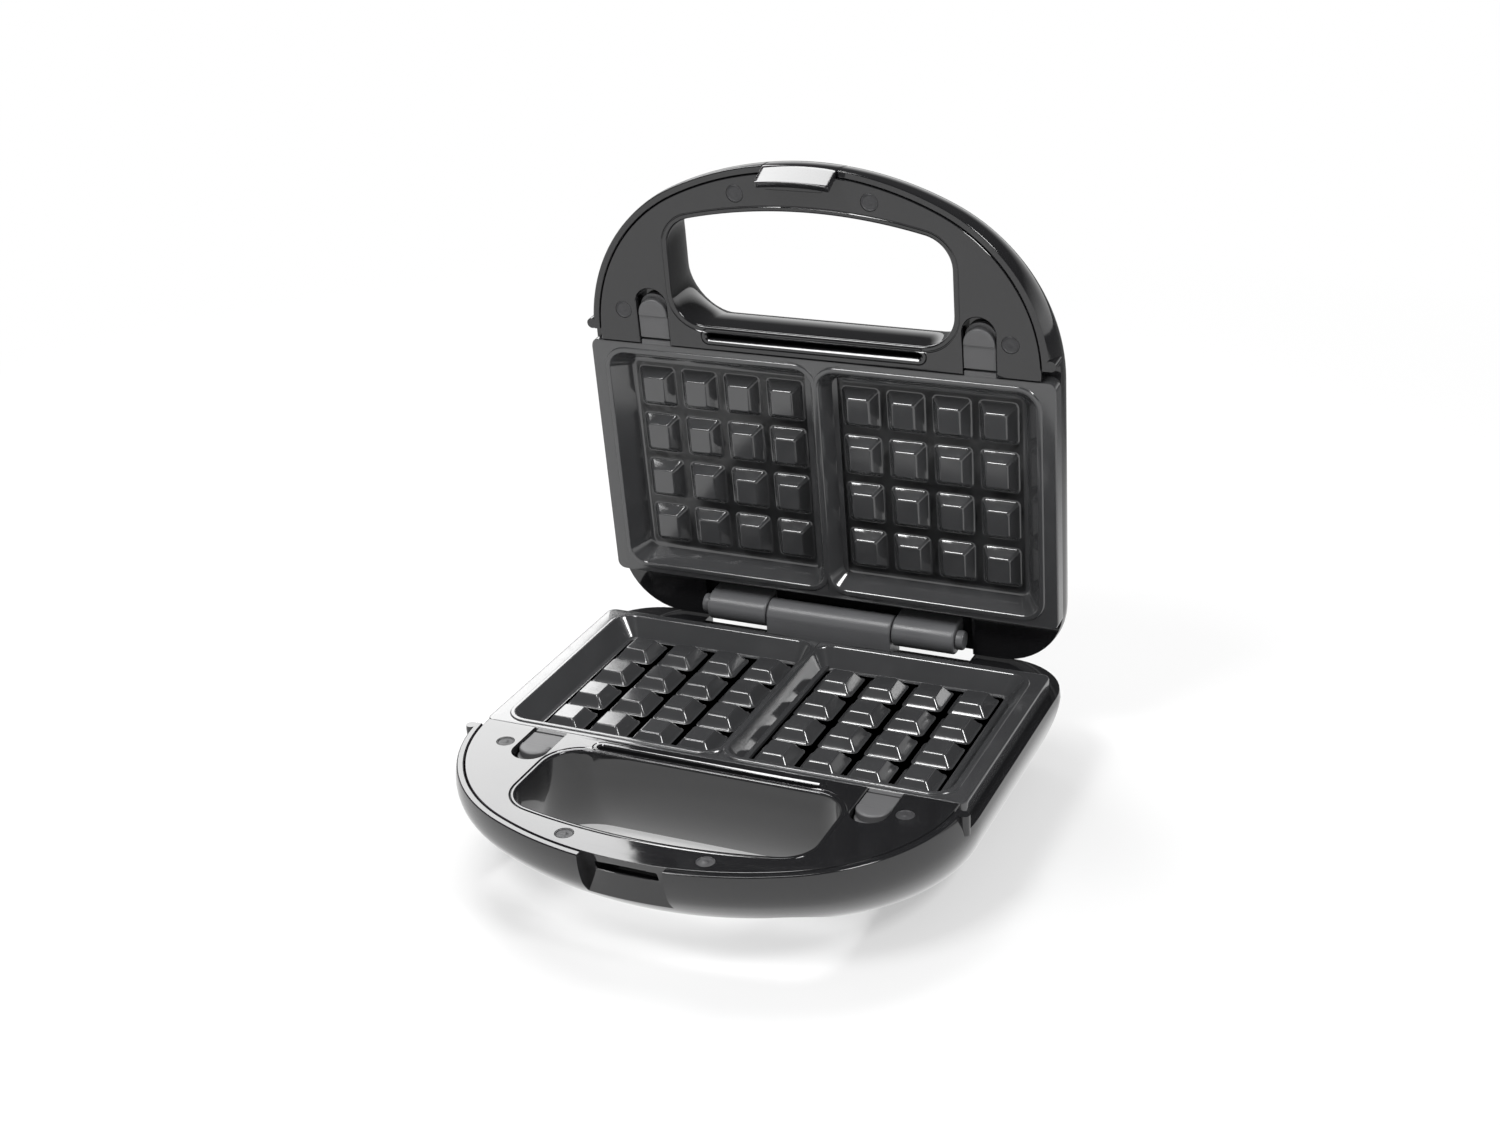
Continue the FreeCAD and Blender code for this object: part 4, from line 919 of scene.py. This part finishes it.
# %% [markdown]
# ## The two housings
# The base gets the catch and four posts for its feet. The lid gets a plain recess, in which the
# latch turns on its pin. A wall round each recess keeps the inside of the housing closed.

# %% Housings
RECESS_HALF, RECESS_BACK, RECESS_DEPTH, RECESS_WALL = 17.5, 130.4, 24.0, 2.0
FOOT_X, FOOT_FRONT, FOOT_REAR = 80.0, -58.0, 44.0
FEET = [(side * FOOT_X, y) for y in (FOOT_FRONT, FOOT_REAR) for side in SIDES]
POST_RADIUS, POST_LOW, POST_HIGH = 10.0, -43.5, -30.0


def walled(half, back, depth):
    """A recess let out by its wall, up to the deck."""
    return block(-half - RECESS_WALL, half + RECESS_WALL, -FAR, RECESS_WALL - back,
                 -depth - RECESS_WALL, DECK_UNDER)


base_shell = shell(RIM_HALF["base"], walled(CATCH_HALF, CATCH_BACK, CATCH_DEPTH),
                   [catch_space(), catch_slot()], [rods(FEET, POST_RADIUS, POST_LOW, POST_HIGH)])
finished(base_shell, "base_housing", to_base, "base", "gloss_black", ["base_shell"])
lid_recess = block(-RECESS_HALF, RECESS_HALF, -FAR, -RECESS_BACK, -RECESS_DEPTH, RECESS_TOP)
lid_shell = shell(RIM_HALF["lid"], walled(RECESS_HALF, RECESS_BACK, RECESS_DEPTH), [lid_recess], [])
finished(lid_shell, "lid_housing", to_lid, "lid", "gloss_black", ["lid_shell"])

# %% [markdown]
# ## The decks
# A deck closes the handle end of a half. It is a flat D with soft edges. The handle opening goes
# through it with a groove and a rounded lip, which draw the two bright lines round the opening.
# Rings run up the outer edge, across the top, down the border and back underneath, so the deck is
# a closed solid from the start.

# %% Deck blanks
DECK_INSET, DECK_REAR, DECK_REAR_STEEP = 3.4, 60.6, 2  # the rear edge's round is steeper
# rings of the edge as (inset, height) and of the opening as (outset, height)
DECK_EDGE = ((0.0, DECK_UNDER), (0.0, 0.1), (0.12, 0.45), (0.35, 0.72), (0.7, DECK_TOP))
OPENING_GROOVE = ((3.0, DECK_TOP - 0.01), (2.8, 0.7), (2.55, 0.42), (2.3, 0.38), (2.05, 0.62))
OPENING_LIP = ((1.85, 0.7), (1.0, 0.69), (0.5, 0.55), (0.15, 0.2), (0.0, -0.4), (0.0, DECK_UNDER))


def deck_blank(half):
    shape = bmesh.new()
    rings = []
    for inset, z in DECK_EDGE:
        inward = DECK_INSET + inset
        points = rim_outline(half, inward, inward, 0, -DECK_REAR - inset / DECK_REAR_STEEP)
        rings.append(ring(shape, points, z))
    for outset, z in OPENING_GROOVE + OPENING_LIP:
        rings.append(ring(shape, opening_points(outset), z))
    skin(shape, rings, closed=True)
    bmesh.ops.recalc_face_normals(shape, faces=shape.faces)
    return shape


print("deck", round(DECK_TOP - DECK_UNDER, 2), "mm thick")

# %% [markdown]
# ## Cutters for a deck
# The tab pockets, the slot, the fine groove that frames the slot and the plug seats are cut from
# the blank. Where a cutter flares near the top, it leaves a bevel along the edge.

# %% Deck cutters
TAB_X, TAB_WIDTH, TAB_FRONT, TRAY_DEPTH, THUMB_STEPS = 76.6, 15.0, 87.0, 5.2, 24
SLOT_HALF, SLOT_WIDTH, SLOT_FRONT, SLOT_END_FLAT = 51.5, 4.5, 69.0, 0.1
PLUG_RADIUS, PLUG_THICK, PLUG_GAP = 3.9, 3.6, 0.1
# rings of the cutters as (outset, height)
TAB_POCKET = ((0.0, -TRAY_DEPTH), (0.0, 0.1), (0.25, 0.5), (0.6, DECK_TOP),
              (0.9, DECK_TOP + PAST))
SLOT_CUT = ((-0.9, -5.0), (-0.9, 0.1), (-0.3, 0.55), (0.0, DECK_TOP + 0.05), (0.0, PAST))
GROOVE_OUTER = ((1.5, 0.35), (2.1, DECK_TOP + 0.3))
GROOVE_INNER = ((1.5, 0.35), (0.9, DECK_TOP + 0.3))


def u_points(x, radius, front, rear):
    """U-shaped outline with its round end at the thumb and a straight end towards the plate."""
    centre = front + radius
    thumb = arc_points(x, centre, radius, -math.pi / 2, math.pi / 2, THUMB_STEPS)
    return thumb + [(x + radius, centre), (x + radius, rear), (x - radius, rear)]


def tab_pocket(x):
    return ring_solid([(u_points(x, TAB_WIDTH / 2 + outset, -TAB_FRONT - outset, outset), z)
                       for outset, z in TAB_POCKET])


def slot_solid(stack):
    """A stack of the slot's rounded outline, let out or drawn in."""
    middle = SLOT_WIDTH / 2
    return ring_solid([(corner_points(SLOT_HALF + outset, middle + outset,
                                      middle + outset - SLOT_END_FLAT, STEPS, 0,
                                      middle - SLOT_FRONT), z) for outset, z in stack])


def slot_groove():
    return carved(slot_solid(GROOVE_OUTER), [slot_solid(GROOVE_INNER)])


print("tabs at", [side * TAB_X for side in SIDES])

# %% [markdown]
# ## Assembling the decks
# A skirt along the rear edge, a tray under each tab and the upper ends of the screw bosses are
# joined to the blank before the cutters open it. The base deck also makes room for the latch.

# %% Decks
DECK_SKIRT, TRAY_WALL, OVERLAP = 2.5, 1.2, 0.5
REAR_BAND = 1.0


def deck(half, more_cuts):
    blank = deck_blank(half)
    joint = DECK_UNDER + OVERLAP
    span = max(corner.co.x for corner in blank.verts if corner.co.y > -DECK_REAR - REAR_BAND)
    skirt = block(-span, span, -DECK_REAR - DECK_SKIRT, -DECK_REAR, -LEDGE_DEPTH, joint)
    solid = carved(blank, [skirt], "UNION")
    tray_half = TAB_WIDTH / 2 + TRAY_WALL
    trays = [block(side * TAB_X - tray_half, side * TAB_X + tray_half, -TAB_FRONT - TRAY_WALL,
                   -DECK_REAR, -TRAY_DEPTH - TRAY_WALL, joint) for side in SIDES]
    solid = carved(solid, trays + [rods(SCREWS, BOSS_RADIUS, BOSS_SPLIT, joint)], "UNION")
    pockets = [tab_pocket(side * TAB_X) for side in SIDES]
    plug_seats = rods(SCREWS, PLUG_RADIUS + PLUG_GAP, DECK_TOP - PLUG_THICK, PAST)
    return carved(solid, pockets + [slot_solid(SLOT_CUT), slot_groove(), plug_seats] + more_cuts)


for half, place in HALVES:
    latch_room = [catch_space()] if half == "base" else []
    finished(deck(RIM_HALF[half], latch_room), half + "_deck_cover", place, half, "gloss_black",
             [half + "_deck"])

# %% [markdown]
# ## Sliding tabs
# A thumb pulls each tab towards the handle to free the plate. The tab is a U-shaped slider with a
# crowned pad for the thumb, a lower flat behind it and a tongue that holds the plate's edge. Four
# simple solids that overlap a little look like one moulding, and each keeps its own soft edges.

# %% Release tabs
SHARP = math.radians(40)
TAB_GAP, TAB_TRAVEL, TAB_ROUND = 0.3, 3.0, (0.3, 2)  # a round is a width and its segments
SLIDER_FOOT, SLIDER_SINK, SLIDER_LAP = -2.6, 0.2, 1.0
THUMB_BACK, PAD_LENGTH, PAD_REAR_STEEP, PAD_STEP, REAR_DROP = 2.0, 8.0, 4, 0.7, 2.2
PAD_CROWN = ((0.0, 0.75), (0.15, 0.4), (0.5, 0.15), (1.3, 0.04), (2.6, 0.0))  # inset, drop
TONGUE_REACH, TONGUE_UNDER = 1.8, -1.9


def soft_edges(shape, width, segments):
    sharp = [edge for edge in shape.edges
             if len(edge.link_faces) == 2 and edge.calc_face_angle(0) > SHARP]
    bmesh.ops.bevel(shape, geom=sharp, offset=width, offset_type="OFFSET", segments=segments,
                    profile=0.5, affect="EDGES", clamp_overlap=True, material=-1)
    return shape


def join(shape, other):
    """Add another drawing's faces to this one."""
    mesh = bpy.data.meshes.new("joined")
    other.to_mesh(mesh)
    other.free()
    shape.from_mesh(mesh)
    bpy.data.meshes.remove(mesh)


def slider(x):
    radius = TAB_WIDTH / 2 - TAB_GAP
    x0, x1 = x - radius, x + radius
    front, rear = TAB_TRAVEL + TAB_GAP - TAB_FRONT, -DECK_REAR - TAB_GAP
    low, top = TAB_GAP - TRAY_DEPTH, DECK_TOP - TAB_GAP
    thumb, sunk = front + THUMB_BACK, SLIDER_FOOT - SLIDER_SINK
    body = ring_solid([(u_points(x, radius, front, rear), z) for z in (low, SLIDER_FOOT)])
    crown = [(0.0, sunk)] + [(inset, top - drop) for inset, drop in PAD_CROWN]
    pad_end = thumb + PAD_LENGTH
    pad = ring_solid([(u_points(x, radius - inset, thumb + inset,
                                pad_end - inset / PAD_REAR_STEEP), z) for inset, z in crown])
    flat = block(x0, x1, pad_end - SLIDER_LAP, rear - REAR_DROP, sunk, top - PAD_STEP)
    tongue = block(x0, x1, rear - SLIDER_LAP, TONGUE_REACH - PLATE_HALF_Y, TONGUE_UNDER, -TAB_GAP)
    soft_edges(body, *TAB_ROUND)
    for more in (pad, soft_edges(flat, *TAB_ROUND), soft_edges(tongue, *TAB_ROUND)):
        join(body, more)
    return body


for half, place in HALVES:
    for side, word in zip(SIDES, ("left", "right")):
        finished(slider(side * TAB_X), f"{half}_slider_{word}", place, f"{half}_release_{word}",
                 "tab_grey", [f"{half}_release_tab_{word}"])

# %% [markdown]
# ## Screw plugs
# Plugs hide the four screws of each deck: low discs with a ring and a shallow dish that a moulding
# tool leaves. A stack of circles follows that profile from the rim to the middle.

# %% Screw plugs
PLUG_STEPS = 36
# (radius, height)
PLUG_PROFILE = ((PLUG_RADIUS, DECK_TOP - PLUG_THICK), (PLUG_RADIUS, 0.6), (PLUG_RADIUS - 0.2, 0.76),
                (PLUG_RADIUS - 0.5, 0.74), (PLUG_RADIUS - 0.75, 0.45), (1.6, 0.42), (1.2, 0.6),
                (0.4, 0.66))


def circle_points(x, y, radius, steps):
    return arc_points(x, y, radius, 0, 2 * math.pi, steps)


def plug_discs():
    shape = bmesh.new()
    for x, y in SCREWS:
        add_stack(shape, [(circle_points(x, y, radius, PLUG_STEPS), z)
                          for radius, z in PLUG_PROFILE])
    return shape


for half, place in HALVES:
    finished(plug_discs(), half + "_plug_discs", place, half, "plug_grey", [half + "_screw_plugs"])

# %% [markdown]
# ## The hinge
# One wide barrel stands on the base and two on the lid, all on one pin. Each barrel is a
# satin block with a half-round top. Its profile is a ring drawn on its side. The ring becomes a
# solid, the ends get a soft bevel, and one matrix turns it to lie along x. Small caps hide the
# ends of the pin.

# %% Barrels and pin caps
BARREL_RADIUS, BARREL_SPLIT, BARREL_END, BARREL_GAP = 7.0, 31.0, 61.5, 0.5
BARREL_STEPS, BARREL_ROUND = 40, (1.1, 4)
CAP_STEPS, CAP_PROFILE = 32, ((4.6, 61.9), (4.6, 64.4), (4.2, 65.1), (3.2, 65.4))
ALONG_X = Matrix(((0, 0, 1, 0), (1, 0, 0, 0), (0, 1, 0, 0), (0, 0, 0, 1)))


def barrel(x0, x1, axis_z):
    front, rear = HINGE_Y - BARREL_RADIUS, HINGE_Y + BARREL_RADIUS
    points = arc_points(HINGE_Y, axis_z, BARREL_RADIUS, math.pi / 2, 3 * math.pi / 2, BARREL_STEPS)
    points += [(front, axis_z), (front, -BAY_DEPTH), (rear, -BAY_DEPTH)]
    shape = soft_edges(ring_solid([(points, x0), (points, x1)]), *BARREL_ROUND)
    bmesh.ops.transform(shape, matrix=ALONG_X, verts=shape.verts)
    return shape


def pin_caps():
    shape = bmesh.new()
    for side in SIDES:
        add_stack(shape, [(circle_points(HINGE_Y, HINGE_Z, radius, CAP_STEPS), side * x)
                          for radius, x in CAP_PROFILE])
    bmesh.ops.transform(shape, matrix=ALONG_X, verts=shape.verts)
    return shape


finished(barrel(-BARREL_SPLIT, BARREL_SPLIT, HINGE_Z), "base_barrel", to_base, "base", "hinge_grey",
         ["base_hinge_knuckle"])
finished(pin_caps(), "pin_caps", to_base, "base", "hinge_grey")
for side, word in zip(SIDES, ("left", "right")):
    ends = sorted((side * (BARREL_SPLIT + BARREL_GAP), side * BARREL_END))
    finished(barrel(*ends, CLOSED_GAP - HINGE_Z), "lid_barrel_" + word, to_lid, "lid", "hinge_grey",
             ["lid_hinge_knuckle_" + word])

# %% [markdown]
# ## The latch
# The latch is a curved tongue, flush with the lid's front and running on past the rim, where it
# leans in and ends in a hooked lip. A flat grid is bent onto the bowl's own curve, `solidify` gives
# it thickness and a bevel rounds it. The lip and the two eyes round the pin are added to it.

# %% Latch
LATCH_HALF, LATCH_FOOT, LATCH_GRID, LATCH_ROUND = 17.0, -22.0, (18, 30), (0.5, 3)
HOOK_TOP, HOOK_THICK, HOOK_HALF, HOOK_ROUND = 9.0, 2.0, 13.0, (0.6, 3)
HOOK_LAP, HOOK_OUT, HOOK_SHORT = 1.0, 2.6, 0.3
PIVOT_Y, PIVOT_Z, EYE_RADIUS, EYE_ROUND = -135.3, -17.0, 4.4, (0.4, 2)
EYE_INNER, EYE_OUTER = 6.0, LATCH_HALF - 0.2


def front_curve(x, z):
    """y of the lid's front at height z: down the bowl, or along the leaning blade above the rim."""
    if z > DECK_TOP:
        side_in = front_in = BLADE_SLOPE * (z - DECK_TOP)
    elif z > -BELLY_DEPTH:
        _, side_in, front_in, _ = belly((DECK_TOP - z) / (DECK_TOP + BELLY_DEPTH))
    else:
        share = math.asin((-BELLY_DEPTH - z) / (FLOOR_DEPTH - BELLY_DEPTH)) / (math.pi / 2)
        _, side_in, front_in, _ = turn_in(share, 0)
    radius = RIM_HALF["lid"] - side_in + FRONT_ARC_MORE
    return radius - RIM_FRONT + front_in - math.sqrt(radius ** 2 - x ** 2)


def latch_plate():
    shape = bmesh.new()
    bmesh.ops.create_grid(shape, x_segments=LATCH_GRID[0], y_segments=LATCH_GRID[1], size=1)
    for corner in shape.verts:
        x = corner.co.x * LATCH_HALF
        z = LATCH_FOOT + (corner.co.y + 1) / 2 * (LATCH_REACH - LATCH_FOOT)
        corner.co = (x, front_curve(x, z), z)
    bmesh.ops.recalc_face_normals(shape, faces=shape.faces)
    if shape.faces[:][0].normal.y > 0:
        bmesh.ops.reverse_faces(shape, faces=shape.faces)
    bmesh.ops.solidify(shape, geom=shape.faces[:], thickness=LATCH_THICK)
    return soft_edges(shape, *LATCH_ROUND)


def latch():
    shape = latch_plate()
    hook_y = front_curve(0, HOOK_TOP) + LATCH_THICK
    hook = block(-HOOK_HALF, HOOK_HALF, hook_y - HOOK_LAP, hook_y + HOOK_OUT - HOOK_SHORT,
                 HOOK_TOP - HOOK_THICK, HOOK_TOP)
    join(shape, soft_edges(hook, *HOOK_ROUND))
    for ends in ((-EYE_OUTER, -EYE_INNER), (EYE_INNER, EYE_OUTER)):
        eye = rods([(PIVOT_Y, PIVOT_Z)], EYE_RADIUS, *ends)
        bmesh.ops.transform(eye, matrix=ALONG_X, verts=eye.verts)
        join(shape, soft_edges(eye, *EYE_ROUND))
    return shape


finished(latch(), "latch_tongue", to_lid, "latch", "gloss_black", ["lid_latch"])

# %% [markdown]
# ## Feet, lamps and the cord bushing
# These are all turned shapes: a profile swept once round an axis. `spin` does that with a chain of
# edges, so one helper serves the rubber feet, the two lamp lenses on the lid's back and the bushing
# that guards the cord hole.

# %% Turned fittings
TURN_STEPS = 40
# profiles as (radius, height)
FOOT_PROFILE = ((0, -46.0), (6.4, -46.0), (7.3, -45.7), (7.9, -44.9), (8.0, -44.0), (8.0, -42.0),
                (0, -42.0))
LENS_PROFILE = ((0, -44.4), (2.0, -44.3), (3.6, -44.0), (4.6, -43.6), (5.2, -43.0), (4.0, -43.0),
                (4.0, -37.0), (0, -37.0))
BUSHING_PROFILE = ((3.4, 0), (5.9, 0), (6.6, 0.3), (7.0, 1.0), (7.0, 3.2), (5.0, 3.2), (5.0, 11.0),
                   (3.4, 11.0), (3.4, 0))
LAMP_X, LAMP_Y = 11.0, -50.0
CORD_HOLE = (40.0, 86.5, -24.0)


def turned(profile):
    """Spin a profile round z."""
    shape = bmesh.new()
    chain = [shape.verts.new((radius, 0, z)) for radius, z in profile]
    edges = [shape.edges.new(pair) for pair in zip(chain, chain[1:])]
    bmesh.ops.spin(shape, geom=chain + edges, axis=(0, 0, 1), cent=(0, 0, 0), angle=2 * math.pi,
                   steps=TURN_STEPS, use_merge=True)
    bmesh.ops.remove_doubles(shape, verts=shape.verts, dist=TOUCH)
    return shape


def fittings(profile, places):
    shape = bmesh.new()
    for place in places:
        one = turned(profile)
        bmesh.ops.transform(one, matrix=place, verts=one.verts)
        join(shape, one)
    return shape


foot_places = [Matrix.Translation((x, y, 0)) for x, y in FEET]
finished(fittings(FOOT_PROFILE, foot_places), "rubber_pads", to_base, "base", "black_rubber",
         ["base_rubber_feet"])
for x, word, colour in ((-LAMP_X, "power", "red_lens"), (LAMP_X, "ready", "green_lens")):
    lamp_place = Matrix.Translation((x, LAMP_Y, 0))
    finished(fittings(LENS_PROFILE, [lamp_place]), word + "_lens", to_lid, "lid", colour,
             [f"lid_{word}_lamp"])
rear_wall = Matrix.Translation(CORD_HOLE) @ Matrix.Rotation(math.pi / 2, 4, "X")
finished(fittings(BUSHING_PROFILE, [rear_wall]), "cord_bushing", to_base, "base", "black_rubber",
         ["base_cord_inlet"])

# %% [markdown]
# ## The studio floor
# A black gloss object is lit by what it mirrors. It stands on a pale floor, which mixes its own
# shaded colour with plain white, more of it farther out, so a soft shadow stays under the object.
# Mirrored, the floor ends a little way behind the object, as a table does, which keeps the sides of
# the lid dark.

# %% Floor finish
FLOOR_WHITE, WHITE_FROM, WHITE_TO = 0.45, 0.12, 0.9
MIRRORED_WHITE, TABLE_END = 0.85, (0.25, 0.5)
WHITE, BEYOND_TABLE = (1, 1, 1), (0.02, 0.02, 0.02)
FLOOR_DARK, FLOOR_PALE, FLOOR_CLOUD, FLOOR_ROUGH = (0.8, 0.8, 0.8), (0.84, 0.84, 0.84), 3.0, 0.5


def view_rays(tree):
    """The rays that carry the view itself: straight from the camera, mirrored and through glass."""
    rays = tree.nodes.new("ShaderNodeLightPath").outputs
    return [Wire(tree, rays[name])
            for name in ("Is Camera Ray", "Is Glossy Ray", "Is Transmission Ray")]


def pale_floor():
    finish = Finish("pale floor")
    straight, mirrored, through = view_rays(finish.tree)
    away = finish.node("ShaderNodeVectorMath", {0: finish.place}, "Value", operation="LENGTH")
    behind = finish.node("ShaderNodeSeparateXYZ", {"Vector": finish.place}, "Y")
    beyond = mirrored * finish.spread(behind, 0.0, 1.0, *TABLE_END)
    glow = finish.node("ShaderNodeEmission", {"Color": finish.tint(beyond, WHITE, BEYOND_TABLE),
                                              "Strength": 1.0})
    whiter = finish.spread(away, FLOOR_WHITE, 1.0, WHITE_FROM, WHITE_TO)
    white_share = (straight + through) * whiter + mirrored * MIRRORED_WHITE
    finish.wear(Base_Color=finish.tint(finish.noise(FLOOR_CLOUD), FLOOR_DARK, FLOOR_PALE),
                Roughness=FLOOR_ROUGH)
    matt = Wire(finish.tree, finish.shader.outputs[0])
    mixed = finish.node("ShaderNodeMixShader", {0: white_share, 1: matt, 2: glow})
    plug(finish.tree, finish.tree.nodes["Material Output"].inputs[0], mixed)
    return finish.material


print("floor white share", FLOOR_WHITE, "to 1")

# %% [markdown]
# ## Floor and surround
# Round the floor stands a white surround. The camera and the reflections see it at full white near
# the horizon and dark overhead, as in a room with white walls, while it lights the object only
# moderately.

# %% Floor and surround
FLOOR_SIZE, FLOOR_CELLS = 6.0, 8
SKY_LIGHT, CEILING, HORIZON = 0.45, 0.06, (0.05, 0.3)

floor_mesh = bpy.data.meshes.new("floor")
shape = bmesh.new()
bmesh.ops.create_grid(shape, x_segments=FLOOR_CELLS, y_segments=FLOOR_CELLS, size=FLOOR_SIZE / 2)
shape.to_mesh(floor_mesh)
shape.free()
floor = bpy.data.objects.new("floor", floor_mesh)
bpy.context.scene.collection.objects.link(floor)
floor.data.materials.append(pale_floor())

world = bpy.data.worlds.new("white surround")
bpy.context.scene.world = world
world.use_nodes = True
surround = Graph(world.node_tree)
facing = surround.node("ShaderNodeTexCoord", output="Generated")
height = surround.node("ShaderNodeSeparateXYZ", {"Vector": facing}, "Z")
wall = surround.spread(height, 1.0, CEILING, *HORIZON)
straight, mirrored, through = view_rays(surround.tree)
seen = straight + mirrored + through
sky = surround.tree.nodes["Background"]
plug(surround.tree, sky.inputs["Color"], (*WHITE, 1))
plug(surround.tree, sky.inputs["Strength"], seen * wall + (1 - seen) * SKY_LIGHT)
print("floor", FLOOR_SIZE, "m across")

# %% [markdown]
# ## Soft boxes
# Four soft boxes of moderate strength do the lighting. The key light models the front, the back and
# top lights draw gleams along the rims and pocket walls, and the edge light lifts the right side.
# Blender's standard view keeps the white background white.

# %% Soft boxes
# name, place, aim, width, height, power
SOFT_BOXES = (
    ("key light", (-0.45, -0.75, 1.35), (0, 0.05, 0.1), 0.45, 0.45, 12),
    ("back light", (-1.32, 1.55, 1.2), (0, 0, 0.05), 0.7, 0.85, 11),
    ("top light", (-0.53, 0.57, 1.48), (0, 0.05, 0.25), 0.75, 0.5, 11),
    ("edge light", (0.9, -0.25, 1.15), (0, 0.08, 0.15), 0.35, 0.35, 9),
)


def soft_box(name, place, aim, width, height, power):
    lamp = bpy.data.lights.new(name, "AREA")
    lamp.shape = "RECTANGLE"
    lamp.size, lamp.size_y = width, height
    lamp.energy = power
    holder = bpy.data.objects.new(name, lamp)
    turn = (Vector(place) - Vector(aim)).to_track_quat("Z", "Y").to_matrix()
    holder.matrix_world = Matrix.Translation(place) @ turn.to_4x4()
    bpy.context.scene.collection.objects.link(holder)
    print(name, power, "W")


for box in SOFT_BOXES:
    soft_box(*box)
bpy.context.scene.view_settings.view_transform = "Standard"
